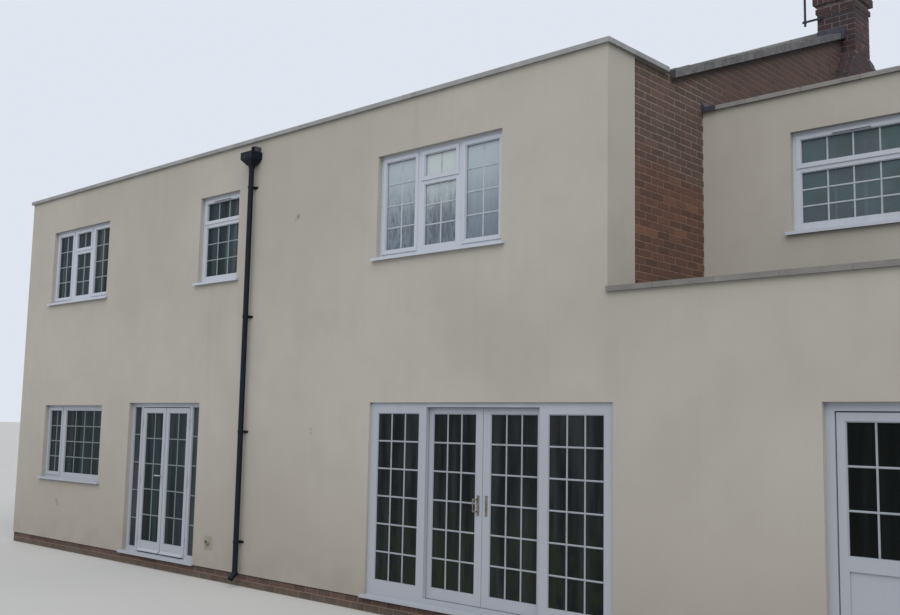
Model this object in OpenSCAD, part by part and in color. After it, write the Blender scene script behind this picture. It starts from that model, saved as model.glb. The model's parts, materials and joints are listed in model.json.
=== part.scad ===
// Two-storey rendered house with a flat parapet in front of a low pitched tiled roof,
// a brick gable with its chimney, and a two-storey wing whose upper floor is set back.
// House coordinates: X along the rear face from its left corner, Y from the rear face
// into the house, Z up from the ground. The part's origin is below the middle of the plan.

/* [Plan] */
// Length of the two-storey block
house_len = 11700; // [11000:50:13000]
// Length of the wing beside it
wing_len = 4300; // [3600:50:6000]
// Depth of the block, from the rear face to the front face
house_depth = 10450; // [9800:50:11500]
// Distance that the wing's upper floor is set back, and the wing's front too
set_back = 1817; // [1500:1:2200]
// Depth of the rendered return at the block's rear corners
return_d = 463; // [400:1:600]
// Distance that the brick face lies behind the render
brick_recess = 15; // [5:1:30]
// Thickness of the outer walls
wall_t = 300; // [250:10:350]

/* [Heights] */
// Height of the brick plinth
plinth_h = 150; // [120:5:200]
// Top of the ground-storey door openings
door_head_z = 2260; // [2200:5:2350]
// Top of the first floor
floor_z = 2850; // [2750:10:2950]
// Thickness of the first floor
floor_t = 280; // [220:10:330]
// Underside of the coping on the low parapet
low_coping_z = 3265; // [3200:5:3350]
// Underside of the coping on the wing
wing_coping_z = 5390; // [5300:10:5500]
// Underside of the coping on the block
main_coping_z = 5630; // [5500:10:5700]
// Underside of the upper ceiling
ceiling_z = 5250; // [5200:10:5300]
// Thickness of the upper ceiling
ceiling_t = 150; // [120:10:180]
// Thickness of a flat roof
flat_roof_t = 200; // [160:10:240]
// Thickness of the low roof over the wing's ground storey
low_roof_t = 400; // [320:10:450]

/* [Copings] */
// Thickness of the block's coping
main_coping_t = 50; // [40:5:100]
// Thickness of the low parapet's coping
low_coping_t = 50; // [40:5:100]
// Thickness of the wing's coping
wing_coping_t = 45; // [35:5:90]
// Distance that a coping reaches past its wall
coping_out = 35; // [30:1:50]
// Width and depth of the drip groove under a coping's nose
drip = 8; // [5:1:10]
// Distance that the block's coping runs back along the sides
coping_run = 1060; // [900:10:1120]

/* [Tiled roof] */
// Distance of the rear eaves behind the rear face
eaves_y = 1150; // [1130:5:1300]
// Distance that the front eaves reach past the front face
front_eaves_out = 150; // [110:10:250]
// Top of the tiles at the rear eaves
eaves_z = 5686; // [5680:1:5750]
// Slope of the roof in degrees
roof_pitch = 21.5; // [18:0.5:25]
// Upright thickness of the tiled slopes at the verge
roof_t = 95; // [80:5:130]
// Distance that the verges reach past the brick gables
verge_out = 65; // [40:5:90]
// Level run of one course of tiles
tile_run = 262.5; // [200:2.5:330]
// Height of a course's lower edge over the course below
tile_step = 20; // [10:1:25]
// Thickness of the wall under the rear eaves
eaves_wall_t = 200; // [100:10:220]
// Radius of the ridge tiles
ridge_r = 120; // [90:5:140]
// Height of the front eaves' fascia
fascia_h = 150; // [120:5:200]
// Thickness of the fascia and the soffit
fascia_t = 18; // [12:1:25]
// Distance that the front tiles reach past the fascia
fascia_in = 30; // [20:5:50]

/* [Chimney] */
// Width of the stack, both ways
stack_w = 510; // [440:5:600]
// Distance that the stack stands out of the brick gable
stack_out = 195; // [150:5:240]
// Height of the brick stack above the ridge
stack_up = 753; // [700:1:950]
// Height of the lower oversailing band's underside above the ridge
band_up = 353; // [340:1:380]
// Height of the oversailing bands
band_h = 110; // [75:5:150]
// Distance that the oversailing bands stand out
band_out = 45; // [25:5:60]
// Height of the thin course's underside above the ridge
string_up = 223; // [215:1:240]
// Height of the thin course
string_h = 75; // [60:5:80]
// Distance that the thin course stands out
string_out = 18; // [10:1:22]
// Height of the mortar that slopes up to the pot
flaunch_h = 60; // [40:5:80]
// Width of the chimney breast below its shoulders
breast_w = 1200; // [900:10:1400]
// Depth of the breast's shoulders below the ridge
shoulder_down = 390; // [340:5:440]
// Height of the breast's shoulders
shoulder_h = 550; // [400:10:700]
// Outer radius of the chimney pot at its foot
pot_r = 130; // [110:5:150]
// Wall thickness of the chimney pot
pot_t = 22; // [18:1:28]
// Height of the chimney pot
pot_h = 380; // [300:10:450]
// Height above the ridge of the band that lashes the aerial's bracket to the stack
lashing_up = 141; // [120:1:160]
// Height of the lashing band
lashing_h = 30; // [20:1:40]
// Distance of the aerial mast from the stack's side
mast_gap = 165; // [120:5:200]
// Radius of the aerial mast
mast_r = 16; // [12:1:20]
// Length of the aerial mast
mast_len = 1050; // [900:50:1400]
// Distance that the mast reaches below its bracket
mast_foot = 45; // [30:5:90]
// Distance that the bracket's arm reaches past the mast
arm_past = 40; // [30:5:60]

/* [Lead] */
// Thickness of the dressed lead
lead_t = 8; // [6:1:10]
// Height of the lead against the stack
lead_up = 75; // [50:5:100]
// Distance that the lead runs down the tiles
lead_run = 150; // [100:10:200]
// Width of the lead cap where the wing's coping meets the gable
cap_w = 165; // [140:5:200]
// Height that the lead cap rises against the gable
cap_up = 80; // [40:5:90]

/* [Window frames] */
// Distance of a window frame's face behind the render
frame_in = 60; // [50:5:80]
// Depth of the frames, front to back
frame_d = 70; // [60:5:80]
// Distance that a sash stands out of its frame
sash_out = 10; // [6:1:14]
// Visible width of a sash
sash_face = 48; // [40:1:60]
// Thickness of the sealed glass units
glass_t = 24; // [20:1:28]
// Depth of the groove that holds the glass
groove = 12; // [8:1:15]
// Width and depth of the step round the outside of the glass
bead = 8; // [5:1:9]
// Visible width from a window's edge to its glass
edge_face = 85; // [70:1:100]
// Visible width between two panes side by side
mullion_face = 150; // [120:1:160]
// Visible width between two panes one over the other
transom_face = 100; // [90:1:130]
// Height of a top-hung vent's glass
vent_glass_h = 235; // [200:5:260]
// Width of the narrow light in a two-light window, from its edge
narrow_light = 450; // [400:10:600]
// Length of the air vent on a top-hung vent's rail
air_vent_w = 400; // [300:10:500]
// Thickness of a window sill
sill_t = 30; // [25:1:40]
// Distance that a sill reaches out of the render
sill_out = 45; // [35:5:60]
// Distance that a sill reaches past its opening at each end
sill_horn = 50; // [40:5:60]
// Fall of a sill's top and depth of its drip
sill_fall = 6; // [3:1:8]

/* [Windows] */
// Height of the openings on the upper floor, with their sills
upper_open_h = 1200; // [1100:10:1250]
// Underside of the sills on the block's upper floor
upper_sill_z = 3850; // [3800:10:3900]
// Distance of the left upper window from the left corner
left_window_x = 830; // [700:10:1100]
// Width of the left upper window
left_window_w = 1770; // [1600:10:1900]
// Distance of the narrow upper window from the left corner
narrow_window_x = 5050; // [4800:10:5100]
// Width of the narrow upper window
narrow_window_w = 890; // [800:10:1000]
// Distance of the right upper window from the left corner
right_window_x = 8590; // [8400:10:8800]
// Width of the right upper window
right_window_w = 1830; // [1700:10:1900]
// Distance of the ground-storey window from the left corner
lower_window_x = 870; // [700:10:1100]
// Width of the ground-storey window
lower_window_w = 1800; // [1600:10:1900]
// Height of the ground-storey window's opening, with its sill
lower_open_h = 1159; // [1100:1:1170]
// Underside of the ground-storey window's sill
lower_sill_z = 1066; // [1000:1:1080]
// Distance of the wing's window from the block
wing_window_in = 950; // [700:10:1200]
// Width of the window in the wing's upper floor
wing_window_w = 1190; // [1000:10:1400]
// Height of the wing window's opening, with its sill
wing_open_h = 1037; // [1000:1:1150]
// Underside of the wing window's sill
wing_sill_z = 3963; // [3900:1:4000]

/* [Hinged doors] */
// Distance of the French doors from the left corner
french_x = 3460; // [3200:10:3700]
// Width of the French doors' opening, with its sidelights
french_w = 1770; // [1700:10:1900]
// Width of a sidelight's glass beside the French doors
sidelight_glass_w = 170; // [150:5:180]
// Distance of the back door from the block
back_in = 1980; // [1700:10:2100]
// Width of the back door's opening
back_w = 970; // [900:10:1000]
// Height of the door sills
door_sill_h = 35; // [30:1:45]
// Visible width of the French doors' frame
door_face = 60; // [50:1:70]
// Visible width of the back door's frame
back_face = 70; // [60:1:80]
// Visible width of a door leaf's stiles and top rail
stile_w = 75; // [65:1:85]
// Height of a French leaf's bottom rail
bottom_rail_h = 150; // [120:5:200]
// Underside of the back door's glass
back_glass_z = 1100; // [1050:5:1150]
// Top of the back door's recessed panel
back_panel_top = 986; // [950:1:1000]
// Underside of the back door's recessed panel
back_panel_low = 330; // [300:5:400]
// Depth of the recessed panel
panel_sink = 15; // [10:1:18]
// Thickness of the hinged door leaves
leaf_t = 60; // [54:2:66]
// Gap round a hinged door leaf
leaf_gap = 10; // [8:1:12]
// Gap between the two French door leaves
meeting_gap = 14; // [14:1:18]
// Radius of the hinge knuckles
hinge_r = 9; // [8:1:11]
// Height of a hinge
hinge_h = 110; // [90:5:130]
// Width of a hinge's plate from its pin line
hinge_plate = 26; // [20:1:35]
// Thickness of a hinge's plate
hinge_plate_t = 4; // [3:0.5:5]
// Distance of the end hinges from a leaf's ends
hinge_end = 150; // [120:10:250]
// Running gap at hinges, clips and tracks
running_gap = 0.3; // [0.2:0.1:0.5]
// Height of the lever handles above the ground
handle_z = 1256; // [1200:1:1300]
// Height of a lever handle's plate
handle_plate_h = 220; // [180:5:240]
// Width of a lever handle's plate
handle_plate_w = 28; // [24:1:34]
// Length of a lever from its spindle
lever_len = 110; // [90:5:125]
// Distance of a lever from the leaf's face
lever_out = 46; // [40:1:55]
// Radius of a lever
lever_r = 9; // [7:1:11]
// Height and depth of the weather bar at a leaf's foot
weather_bar = 24; // [18:1:30]

/* [Patio doors] */
// Distance of the sliding patio doors from the left corner
patio_x = 8550; // [8300:10:8600]
// Width of the patio doors' opening
patio_w = 3210; // [3000:10:3400]
// Distance of the patio doors' frame behind the render
patio_in = 30; // [20:5:40]
// Visible width of the patio doors' frame
patio_face = 50; // [40:1:60]
// Thickness of a sliding panel
panel_t = 44; // [40:1:50]
// Gap between the fixed and the sliding panels
track_gap = 8; // [6:1:12]
// Width of the rail that a leaf slides on
track_w = 8; // [6:1:12]
// Gap over and under the sliding leaves, and between them
slide_gap = 6; // [6:1:8]
// Overlap of a fixed panel's stile with the sliding leaf behind it
stile_lap = 50; // [40:5:60]
// Visible width of a panel's outer stile and top rail
patio_stile = 72; // [60:1:80]
// Width of the stiles that lap each other
lap_stile = 115; // [100:1:125]
// Width of the stiles that meet in the middle
meeting_stile = 102; // [90:1:115]
// Height of a panel's bottom rail
patio_rail_h = 120; // [100:5:150]
// Height of the pull handles above the ground
pull_z = 1230; // [1200:5:1280]
// Height of a pull handle's plate
pull_plate_h = 200; // [170:5:240]
// Width of a pull handle's plate
pull_plate_w = 30; // [26:1:36]
// Thickness of the handles' plates
plate_t = 5; // [4:0.5:6]
// Height of the grip on the left leaf
grip_h = 120; // [100:5:140]
// Radius of the grip
grip_r = 7; // [6:0.5:8]
// Distance of the grip from the leaf's face
grip_out = 42; // [35:1:45]
// Distance of the grip beside its plate's middle
grip_side = 36; // [25:1:36]

/* [Rainwater] */
// Distance of the rear downpipe from the left corner
pipe_x = 6275; // [6200:5:6600]
// Distance of the front downpipe from the left corner
front_pipe_x = 300; // [150:10:500]
// Outer radius of the downpipes
pipe_r = 34; // [30:1:40]
// Wall thickness of the downpipes
pipe_t = 3; // [2:0.5:5]
// Gap between a downpipe and the wall
pipe_gap = 40; // [30:1:50]
// Height of the bend over a downpipe's shoe
shoe_z = 160; // [150:5:200]
// Distance that a shoe throws out
shoe_out = 65; // [50:5:80]
// Depth of the open end of a shoe
shoe_bore = 25; // [15:5:30]
// Width of the hopper head
hopper_w = 235; // [220:5:280]
// Depth of the hopper head
hopper_d = 170; // [160:5:200]
// Top of the hopper head
hopper_z = 5470; // [5450:5:5500]
// Height of the hopper head
hopper_h = 200; // [180:5:240]
// Height of the hopper's upright sides
hopper_rim = 90; // [70:5:100]
// Outer radius of the front gutter
gutter_r = 56; // [50:1:62]
// Wall thickness of the gutter and the hopper
gutter_t = 4; // [3:0.5:6]
// Greatest distance between the gutter's brackets
bracket_run = 1000; // [800:50:1200]

/* [Hidden] */
site_len = house_len + wing_len;
brick_x = house_len - brick_recess;
inner_y = house_depth - wall_t;
wing_y = house_depth - set_back;
wing_in_x = site_len - wall_t;
// Small extra length of a cut past the faces it leaves through
cut = 1;
// Number of sides that curves are drawn with
round_n = 48;

// The tiled roof: its ridge is midway between the eaves
front_eaves_y = house_depth + front_eaves_out;
ridge_y = (eaves_y + front_eaves_y) / 2;
slope = tan(roof_pitch);
ridge_z = eaves_z + (ridge_y - eaves_y) * slope;
courses = round((ridge_y - eaves_y) / tile_run);
course_run = (ridge_y - eaves_y) / courses;
verge_x0 = brick_recess - verge_out;
verge_x1 = brick_x + verge_out;
function tile_z(y) = ridge_z - abs(y - ridge_y) * slope;
function under_z(y) = tile_z(y) - roof_t;
// The tops of the courses from the rear eaves to the ridge, stepped at each lower edge
rear_courses = [for (i = [0 : courses - 1]) let (y = eaves_y + i * course_run)
    each [[y, tile_z(y)], [y + course_run, tile_z(y + course_run) - tile_step]]];
front_courses = [for (i = [len(rear_courses) - 1 : -1 : 0])
    [2 * ridge_y - rear_courses[i][0], rear_courses[i][1]]];
fascia_y = front_eaves_y - fascia_in;
fascia_low = under_z(fascia_y) - fascia_h;

// The stack stands on a seat cut in the gable's top
stack_x = brick_x + stack_out - stack_w;
stack_y = ridge_y - stack_w / 2;
stack_z = ridge_z + stack_up;
band_z = ridge_z + band_up;
string_z = ridge_z + string_up;
lashing_z = ridge_z + lashing_up;
shoulder_z = ridge_z - shoulder_down;
pot_z = stack_z + flaunch_h;
// Heights of the pot's rolled foot and rim
pot_foot_h = 40;
pot_rim_h = 50;
// Distance that the flue lies inside the pot's bore
flue_in = 3;
flue_r = pot_r - pot_t - flue_in;
// Thickness of the lashing band and of its bracket's plates
band_t = 4;
lead_x1 = verge_x1 + lead_t;

// A window is [x, sill underside, width, opening height, kind]
left_window = [left_window_x, upper_sill_z, left_window_w, upper_open_h, "three"];
narrow_window = [narrow_window_x, upper_sill_z, narrow_window_w, upper_open_h, "vent"];
right_window = [right_window_x, upper_sill_z, right_window_w, upper_open_h, "three"];
lower_window = [lower_window_x, lower_sill_z, lower_window_w, lower_open_h, "pair"];
wing_window_x = house_len + wing_window_in;
wing_window = [wing_window_x, wing_sill_z, wing_window_w, wing_open_h, "vent"];
upper_rear = [left_window, narrow_window, right_window];
rear_list = concat(upper_rear, [lower_window]);
// The front repeats the rear windows, with plain windows in place of the garden doors
front_list = concat(upper_rear, [
    lower_window,
    [right_window_x, lower_sill_z, right_window_w, lower_open_h, "three"]]);
wing_front_list = [
    wing_window,
    [wing_window_x, lower_sill_z, wing_window_w, lower_open_h, "vent"]];
side_x = ridge_y - narrow_window_w / 2;
side_list = [
    [side_x, upper_sill_z, narrow_window_w, upper_open_h, "vent"],
    [side_x, lower_sill_z, narrow_window_w, lower_open_h, "vent"]];
glass_in = (frame_d - glass_t) / 2;

// Doors
door_z = plinth_h + door_sill_h;
leaf_z0 = door_z + leaf_gap;
side_in = 2 * door_face + sidelight_glass_w;
french_mid = french_x + french_w / 2;
french_leaf_x0 = french_x + side_in + leaf_gap;
french_leaf_x1 = french_mid - meeting_gap / 2;
french_leaf_z1 = door_head_z - door_face - leaf_gap;
back_x = house_len + back_in;
back_leaf_x0 = back_x + back_face + leaf_gap;
back_leaf_x1 = back_x + back_w - back_face - leaf_gap;
back_leaf_z1 = door_head_z - back_face - leaf_gap;
back_leaf_y = frame_in + frame_d - leaf_t;
front_door_x = narrow_window_x + (narrow_window_w - back_w) / 2;
patio_mid = patio_x + patio_w / 2;
fixed_w = (patio_w / 2 - patio_face) / 2 + stile_lap / 2;
patio_z0 = door_z + patio_face;
patio_z1 = door_head_z - patio_face;
leaf_track_y = patio_in + panel_t + track_gap;
patio_depth = leaf_track_y + panel_t + track_gap;
patio_leaf_x0 = patio_x + patio_face + fixed_w - stile_lap;
patio_leaf_x1 = patio_mid - slide_gap / 2;
pull_x = patio_leaf_x1 - meeting_stile / 2;
sidelight_pane = [french_x + door_face, french_x + door_face + sidelight_glass_w,
    door_z + door_face, door_head_z - door_face];
french_pane = [french_leaf_x0 + stile_w, french_leaf_x1 - stile_w,
    leaf_z0 + bottom_rail_h, french_leaf_z1 - stile_w];
fixed_pane = [patio_x + patio_face + patio_stile, patio_x + patio_face + fixed_w - lap_stile,
    patio_z0 + patio_rail_h, patio_z1 - patio_stile];
fixed_glass_y = patio_in + (panel_t - glass_t) / 2;
leaf_pane = [patio_leaf_x0 + lap_stile, patio_leaf_x1 - meeting_stile,
    patio_z0 + patio_rail_h, patio_z1 - patio_stile];
leaf_glass_y = leaf_track_y + (panel_t - glass_t) / 2;
back_pane = [back_leaf_x0 + stile_w, back_leaf_x1 - stile_w,
    back_glass_z, back_leaf_z1 - stile_w];

// Rainwater pipes and gutter
pipe_y = -pipe_gap - pipe_r;
// Distance that a pipe's sockets stand out of it
socket_t = 8;
socket_r = pipe_r + socket_t;
// Heights of the middles of the downpipes' clips
clip_heights = [541, 1896, 3345, 5019];
clip_h = 30;
// Thickness of a clip and its back plate
clip_t = 5;
// Depth of the gutter's rim below the tiles
gutter_drop = 10;
gutter_y = fascia_y + gutter_r + gutter_t;
gutter_z = under_z(front_eaves_y) - gutter_drop;
outlet_z = gutter_z - gutter_r - clip_h;
neck_z = outlet_z - 2 * clip_h - (gutter_y - house_depth + pipe_y);
shoe_end = [pipe_y - shoe_out, shoe_z - shoe_out];
// A point d past b on the line from a to b
function past(a, b, d) = b + (b - a) * d / norm(b - a);

render_colour = [0.72, 0.68, 0.58];
brick_colour = [0.42, 0.24, 0.17];
white_colour = [0.86, 0.88, 0.92];
glass_colour = [0.12, 0.18, 0.2];
coping_colour = [0.55, 0.58, 0.62];
tile_colour = [0.38, 0.37, 0.36];
felt_colour = [0.3, 0.3, 0.31];
lead_colour = [0.5, 0.52, 0.55];
black_colour = [0.05, 0.05, 0.06];
brass_colour = [0.66, 0.5, 0.22];
concrete_colour = [0.62, 0.61, 0.58];
clay_colour = [0.6, 0.3, 0.2];
metal_colour = [0.45, 0.47, 0.5];

// Moves house coordinates to the part's origin
module at_house() {
    translate([-site_len / 2, -house_depth / 2, 0])
        children();
}

// A box given by its lowest and highest corners
module block(low, high) {
    translate(low)
        cube(high - low);
}

// An outline in Y and Z, carried along X
module run_x(x0, x1, outline) {
    translate([x0, 0, 0])
        rotate([90, 0, 90])
            linear_extrude(x1 - x0)
                polygon(outline);
}

// An outline in X and Z, carried along Y
module run_y(y0, y1, outline) {
    translate([0, y1, 0])
        rotate([90, 0, 0])
            linear_extrude(y1 - y0)
                polygon(outline);
}

// A rod along X, Y or Z from a given end
module rod_x(r, h) {
    rotate([0, 90, 0])
        cylinder(r = r, h = h, $fn = round_n);
}

module rod_y(r, h) {
    rotate([-90, 0, 0])
        cylinder(r = r, h = h, $fn = round_n);
}

module rod_z(r, h) {
    cylinder(r = r, h = h, $fn = round_n);
}

// A copy of what follows, mirrored across the plane at x
module mirror_at(x) {
    translate([2 * x, 0, 0])
        mirror([1, 0, 0])
            children();
}

// Turns a rear-face drawing into one on the front face at depth y
module on_front(y) {
    translate([0, y, 0])
        mirror([0, 1, 0])
            children();
}

// Turns a rear-face drawing into one on the side face at x, its X running back
module on_right_side(x) {
    translate([x, 0, 0])
        rotate([0, 0, 90])
            children();
}

module on_left_side(x) {
    mirror_at(x)
        on_right_side(x)
            children();
}

// The hole that a window needs in a wall of the given thickness
module window_hole(win, t) {
    block([win[0], -cut, win[1]], [win[0] + win[2], t + cut, win[1] + win[3]]);
}

// The panes of a window of width w and height h, each [x0, x1, z0, z1, opens]
function column_panes(w, n) =
    let (pane_w = (w - 2 * edge_face - (n - 1) * mullion_face) / n)
    [for (i = [0 : n - 1])
        let (x = edge_face + i * (pane_w + mullion_face))
        [x, x + pane_w]];

function vent_over_fixed(x0, x1, h) =
    let (vent_z = h - edge_face - vent_glass_h)
    [[x0, x1, vent_z, h - edge_face, true],
     [x0, x1, edge_face, vent_z - transom_face, false]];

function three_light_panes(w, h) =
    let (cols = column_panes(w, 3))
    concat([for (i = [0, 2]) [cols[i][0], cols[i][1], edge_face, h - edge_face, true]],
        vent_over_fixed(cols[1][0], cols[1][1], h));

function pair_panes(w, h) =
    [[edge_face, narrow_light, edge_face, h - edge_face, true],
     [narrow_light + mullion_face, w - edge_face, edge_face, h - edge_face, false]];

function window_panes(win) =
    let (w = win[2], h = win[3] - sill_t)
    win[4] == "three" ? three_light_panes(w, h)
    : win[4] == "vent" ? vent_over_fixed(edge_face, w - edge_face, h)
    : pair_panes(w, h);

// Cuts for one pane [x0, x1, z0, z1] in a frame from y0 to y1: the daylight size, the
// groove that holds the glass at glass_y, and the step round it outside
module pane_cuts(p, y0, y1, glass_y) {
    block([p[0], y0 - cut, p[2]], [p[1], y1 + cut, p[3]]);
    block([p[0] - bead, y0 - cut, p[2] - bead], [p[1] + bead, y0 + bead, p[3] + bead]);
    pane(p, glass_y);
}

// The glass of one pane, with its edges in the groove
module pane(p, glass_y) {
    block([p[0] - groove, glass_y, p[2] - groove],
        [p[1] + groove, glass_y + glass_t, p[3] + groove]);
}

// A window's frame with its sashes, drawn for a rear-facing wall
module window_frame(win) {
    translate([win[0], frame_in, win[1] + sill_t])
        difference() {
            union() {
                cube([win[2], frame_d, win[3] - sill_t]);
                for (p = window_panes(win))
                    if (p[4])
                        block([p[0] - sash_face, -sash_out, p[2] - sash_face],
                            [p[1] + sash_face, cut, p[3] + sash_face]);
                if (win[4] == "vent")
                    air_vent(win);
            }
            for (p = window_panes(win))
                pane_cuts(p, p[4] ? -sash_out : 0, frame_d, glass_in);
        }
}

// A slim air vent with sloping ends on a top-hung vent's rail
module air_vent(win) {
    z = win[3] - sill_t - edge_face + bead;
    mid = win[2] / 2;
    run_y(-2 * sash_out, -sash_out, [
        [mid - air_vent_w / 2, z], [mid + air_vent_w / 2, z],
        [mid + air_vent_w / 2 - bead, z + 2 * bead],
        [mid - air_vent_w / 2 + bead, z + 2 * bead]]);
}

module window_panes_glass(win) {
    translate([win[0], frame_in, win[1] + sill_t])
        for (p = window_panes(win))
            pane(p, glass_in);
}

// A sill across an opening of width w: its nose slopes out of the wall to a drip, and its
// horns run past the opening. Drawn from the opening's lower left corner, top at t
module sill(w, t) {
    run_x(0, w, [[0, 0], [frame_in + frame_d, 0], [frame_in + frame_d, t],
        [frame_in, t], [0, t - sill_fall / 2]]);
    run_x(-sill_horn, w + sill_horn, [[0, 0], [0, t - sill_fall / 2],
        [-sill_out, t - sill_fall], [-sill_out, -sill_fall],
        [drip - sill_out, -sill_fall], [drip - sill_out, 0]]);
}

module window_sill(win) {
    translate([win[0], 0, win[1]])
        sill(win[2], sill_t);
}

module plinth() {
    color(brick_colour) at_house()
        difference() {
            union() {
                block([brick_recess, brick_recess, 0],
                    [brick_x, house_depth, plinth_h]);
                block([brick_x - cut, brick_recess, 0],
                    [site_len - brick_recess, wing_y - brick_recess, plinth_h]);
            }
            block([wall_t, wall_t, -cut], [house_len - wall_t, inner_y, plinth_h + cut]);
            block([house_len - wall_t - cut, wall_t, -cut],
                [wing_in_x, wing_y - wall_t, plinth_h + cut]);
        }
}

module ground_floor() {
    color(concrete_colour) at_house() {
        block([wall_t, wall_t, 0], [house_len - wall_t, inner_y, plinth_h]);
        block([house_len - wall_t, wall_t, 0], [wing_in_x, wing_y - wall_t, plinth_h]);
    }
}

// The lower rear wall between its doorways
module rear_wall_lower() {
    color(render_colour) at_house() {
        difference() {
            block([0, 0, plinth_h], [french_x, wall_t, door_head_z]);
            window_hole(lower_window, wall_t);
        }
        block([french_x + french_w, 0, plinth_h], [patio_x, wall_t, door_head_z]);
        block([patio_x + patio_w, 0, plinth_h], [back_x, wall_t, door_head_z]);
        block([back_x + back_w, 0, plinth_h], [site_len, wall_t, door_head_z]);
    }
}

// The rear wall over the doorways, up to the low parapet's coping
module rear_wall_band() {
    color(render_colour) at_house()
        block([0, 0, door_head_z], [site_len, wall_t, low_coping_z]);
}

module rear_wall_upper() {
    color(render_colour) at_house()
        difference() {
            block([0, 0, low_coping_z], [house_len, wall_t, main_coping_z]);
            for (win = upper_rear)
                window_hole(win, wall_t);
        }
}

// The render turns both rear corners of the block
module wall_returns() {
    color(render_colour) at_house() {
        block([0, wall_t, plinth_h], [wall_t, return_d, main_coping_z]);
        block([house_len - wall_t, wall_t, floor_z], [house_len, return_d, main_coping_z]);
    }
}

// A gable's outline from its foot, over the ridge, to the front eaves
function gable_outline(foot) = concat(foot, [
    [return_d, main_coping_z], [eaves_y, main_coping_z], [eaves_y, under_z(eaves_y)],
    [ridge_y, under_z(ridge_y)], [house_depth, under_z(house_depth)],
    [house_depth, plinth_h]]);

module brick_gable() {
    color(brick_colour) at_house()
        difference() {
            run_x(house_len - wall_t, brick_x, gable_outline([
                [set_back, plinth_h], [set_back, floor_z], [return_d, floor_z]]));
            block([stack_x, stack_y, shoulder_z],
                [house_len, stack_y + stack_w, ridge_z]);
        }
}

module left_gable() {
    color(brick_colour) at_house()
        difference() {
            run_x(brick_recess, wall_t, gable_outline([[return_d, plinth_h]]));
            for (win = side_list)
                on_left_side(0)
                    window_hole(win, wall_t);
        }
}

module front_wall() {
    color(brick_colour) at_house()
        difference() {
            run_x(wall_t, house_len - wall_t, [[inner_y, plinth_h], [house_depth, plinth_h],
                [house_depth, under_z(house_depth)], [inner_y, under_z(inner_y)]]);
            on_front(house_depth) {
                for (win = front_list)
                    window_hole(win, wall_t);
                block([front_door_x, -cut, plinth_h - cut],
                    [front_door_x + back_w, wall_t + cut, door_head_z]);
            }
        }
}

module wing_rear_wall() {
    color(render_colour) at_house()
        translate([0, set_back, 0])
            difference() {
                block([brick_x, 0, floor_z], [wing_in_x, wall_t, wing_coping_z]);
                window_hole(wing_window, wall_t);
            }
}

module wing_side_wall() {
    color(render_colour) at_house()
        difference() {
            run_x(wing_in_x, site_len, [[wall_t, plinth_h], [wall_t, low_coping_z],
                [set_back, low_coping_z], [set_back, wing_coping_z],
                [wing_y, wing_coping_z], [wing_y, plinth_h]]);
            for (win = side_list)
                on_right_side(site_len)
                    window_hole(win, wall_t);
        }
}

module wing_front_wall() {
    color(render_colour) at_house()
        difference() {
            block([brick_x, wing_y - wall_t, plinth_h], [wing_in_x, wing_y, wing_coping_z]);
            on_front(wing_y)
                for (win = wing_front_list)
                    window_hole(win, wall_t);
        }
}

// The space that the chimney breast takes beside the gable
module breast_space() {
    block([brick_x - cut, ridge_y - breast_w / 2, 0],
        [brick_x + stack_out, ridge_y + breast_w / 2, ridge_z]);
}

module first_floor() {
    color(concrete_colour) at_house() {
        block([wall_t, wall_t, floor_z - floor_t],
            [house_len - wall_t, inner_y, floor_z]);
        block([house_len - wall_t, wall_t, floor_z - floor_t], [brick_x, set_back, floor_z]);
    }
}

module wing_floor() {
    color(concrete_colour) at_house()
        difference() {
            block([brick_x, set_back, floor_z - floor_t],
                [wing_in_x, wing_y - wall_t, floor_z]);
            breast_space();
        }
}

module ceiling() {
    color(concrete_colour) at_house()
        block([wall_t, eaves_y, ceiling_z],
            [house_len - wall_t, inner_y, ceiling_z + ceiling_t]);
}

module flat_roofs() {
    color(felt_colour) at_house() {
        block([wall_t, wall_t, ceiling_z], [house_len - wall_t, eaves_y, ceiling_z + flat_roof_t]);
        difference() {
            block([brick_x, wall_t, floor_z - floor_t],
                [wing_in_x, set_back, floor_z - floor_t + low_roof_t]);
            block([0, 0, floor_z], [house_len, return_d, main_coping_z]);
        }
        difference() {
            block([brick_x, set_back + wall_t, wing_coping_z - flat_roof_t],
                [wing_in_x, wing_y - wall_t, wing_coping_z - flat_roof_t / 2]);
            breast_space();
        }
    }
}

module eaves_wall() {
    color(brick_colour) at_house()
        run_x(wall_t, house_len - wall_t, [[eaves_y, ceiling_z + ceiling_t],
            [eaves_y + eaves_wall_t, ceiling_z + ceiling_t],
            [eaves_y + eaves_wall_t, under_z(eaves_y + eaves_wall_t)],
            [eaves_y, under_z(eaves_y)]]);
}

// The square hole that the stack needs
module stack_space() {
    block([stack_x, stack_y, 0], [site_len, stack_y + stack_w, stack_z]);
}

// One slope's slab under its courses, a running gap above the walls
module roof_slope(outline) {
    color(tile_colour) at_house()
        difference() {
            run_x(verge_x0, verge_x1, concat(outline,
                [for (y = [outline[len(outline) - 1][0], outline[0][0]])
                    [y, under_z(y) + running_gap]]));
            stack_space();
        }
}

module rear_roof_slope() {
    roof_slope(rear_courses);
}

module front_roof_slope() {
    roof_slope(front_courses);
}

module ridge_rod(x0, x1, r) {
    translate([x0, ridge_y, ridge_z - ridge_r / 2])
        rod_x(r, x1 - x0);
}

// Half-round ridge tiles, cut to sit on the courses and to stop at the stack
module ridge_tiles() {
    color(tile_colour) at_house()
        difference() {
            ridge_rod(verge_x0, stack_x, ridge_r);
            run_x(-house_len, 2 * house_len, concat(rear_courses, front_courses,
                [[front_eaves_y, 0], [eaves_y, 0]]));
        }
}

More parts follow.
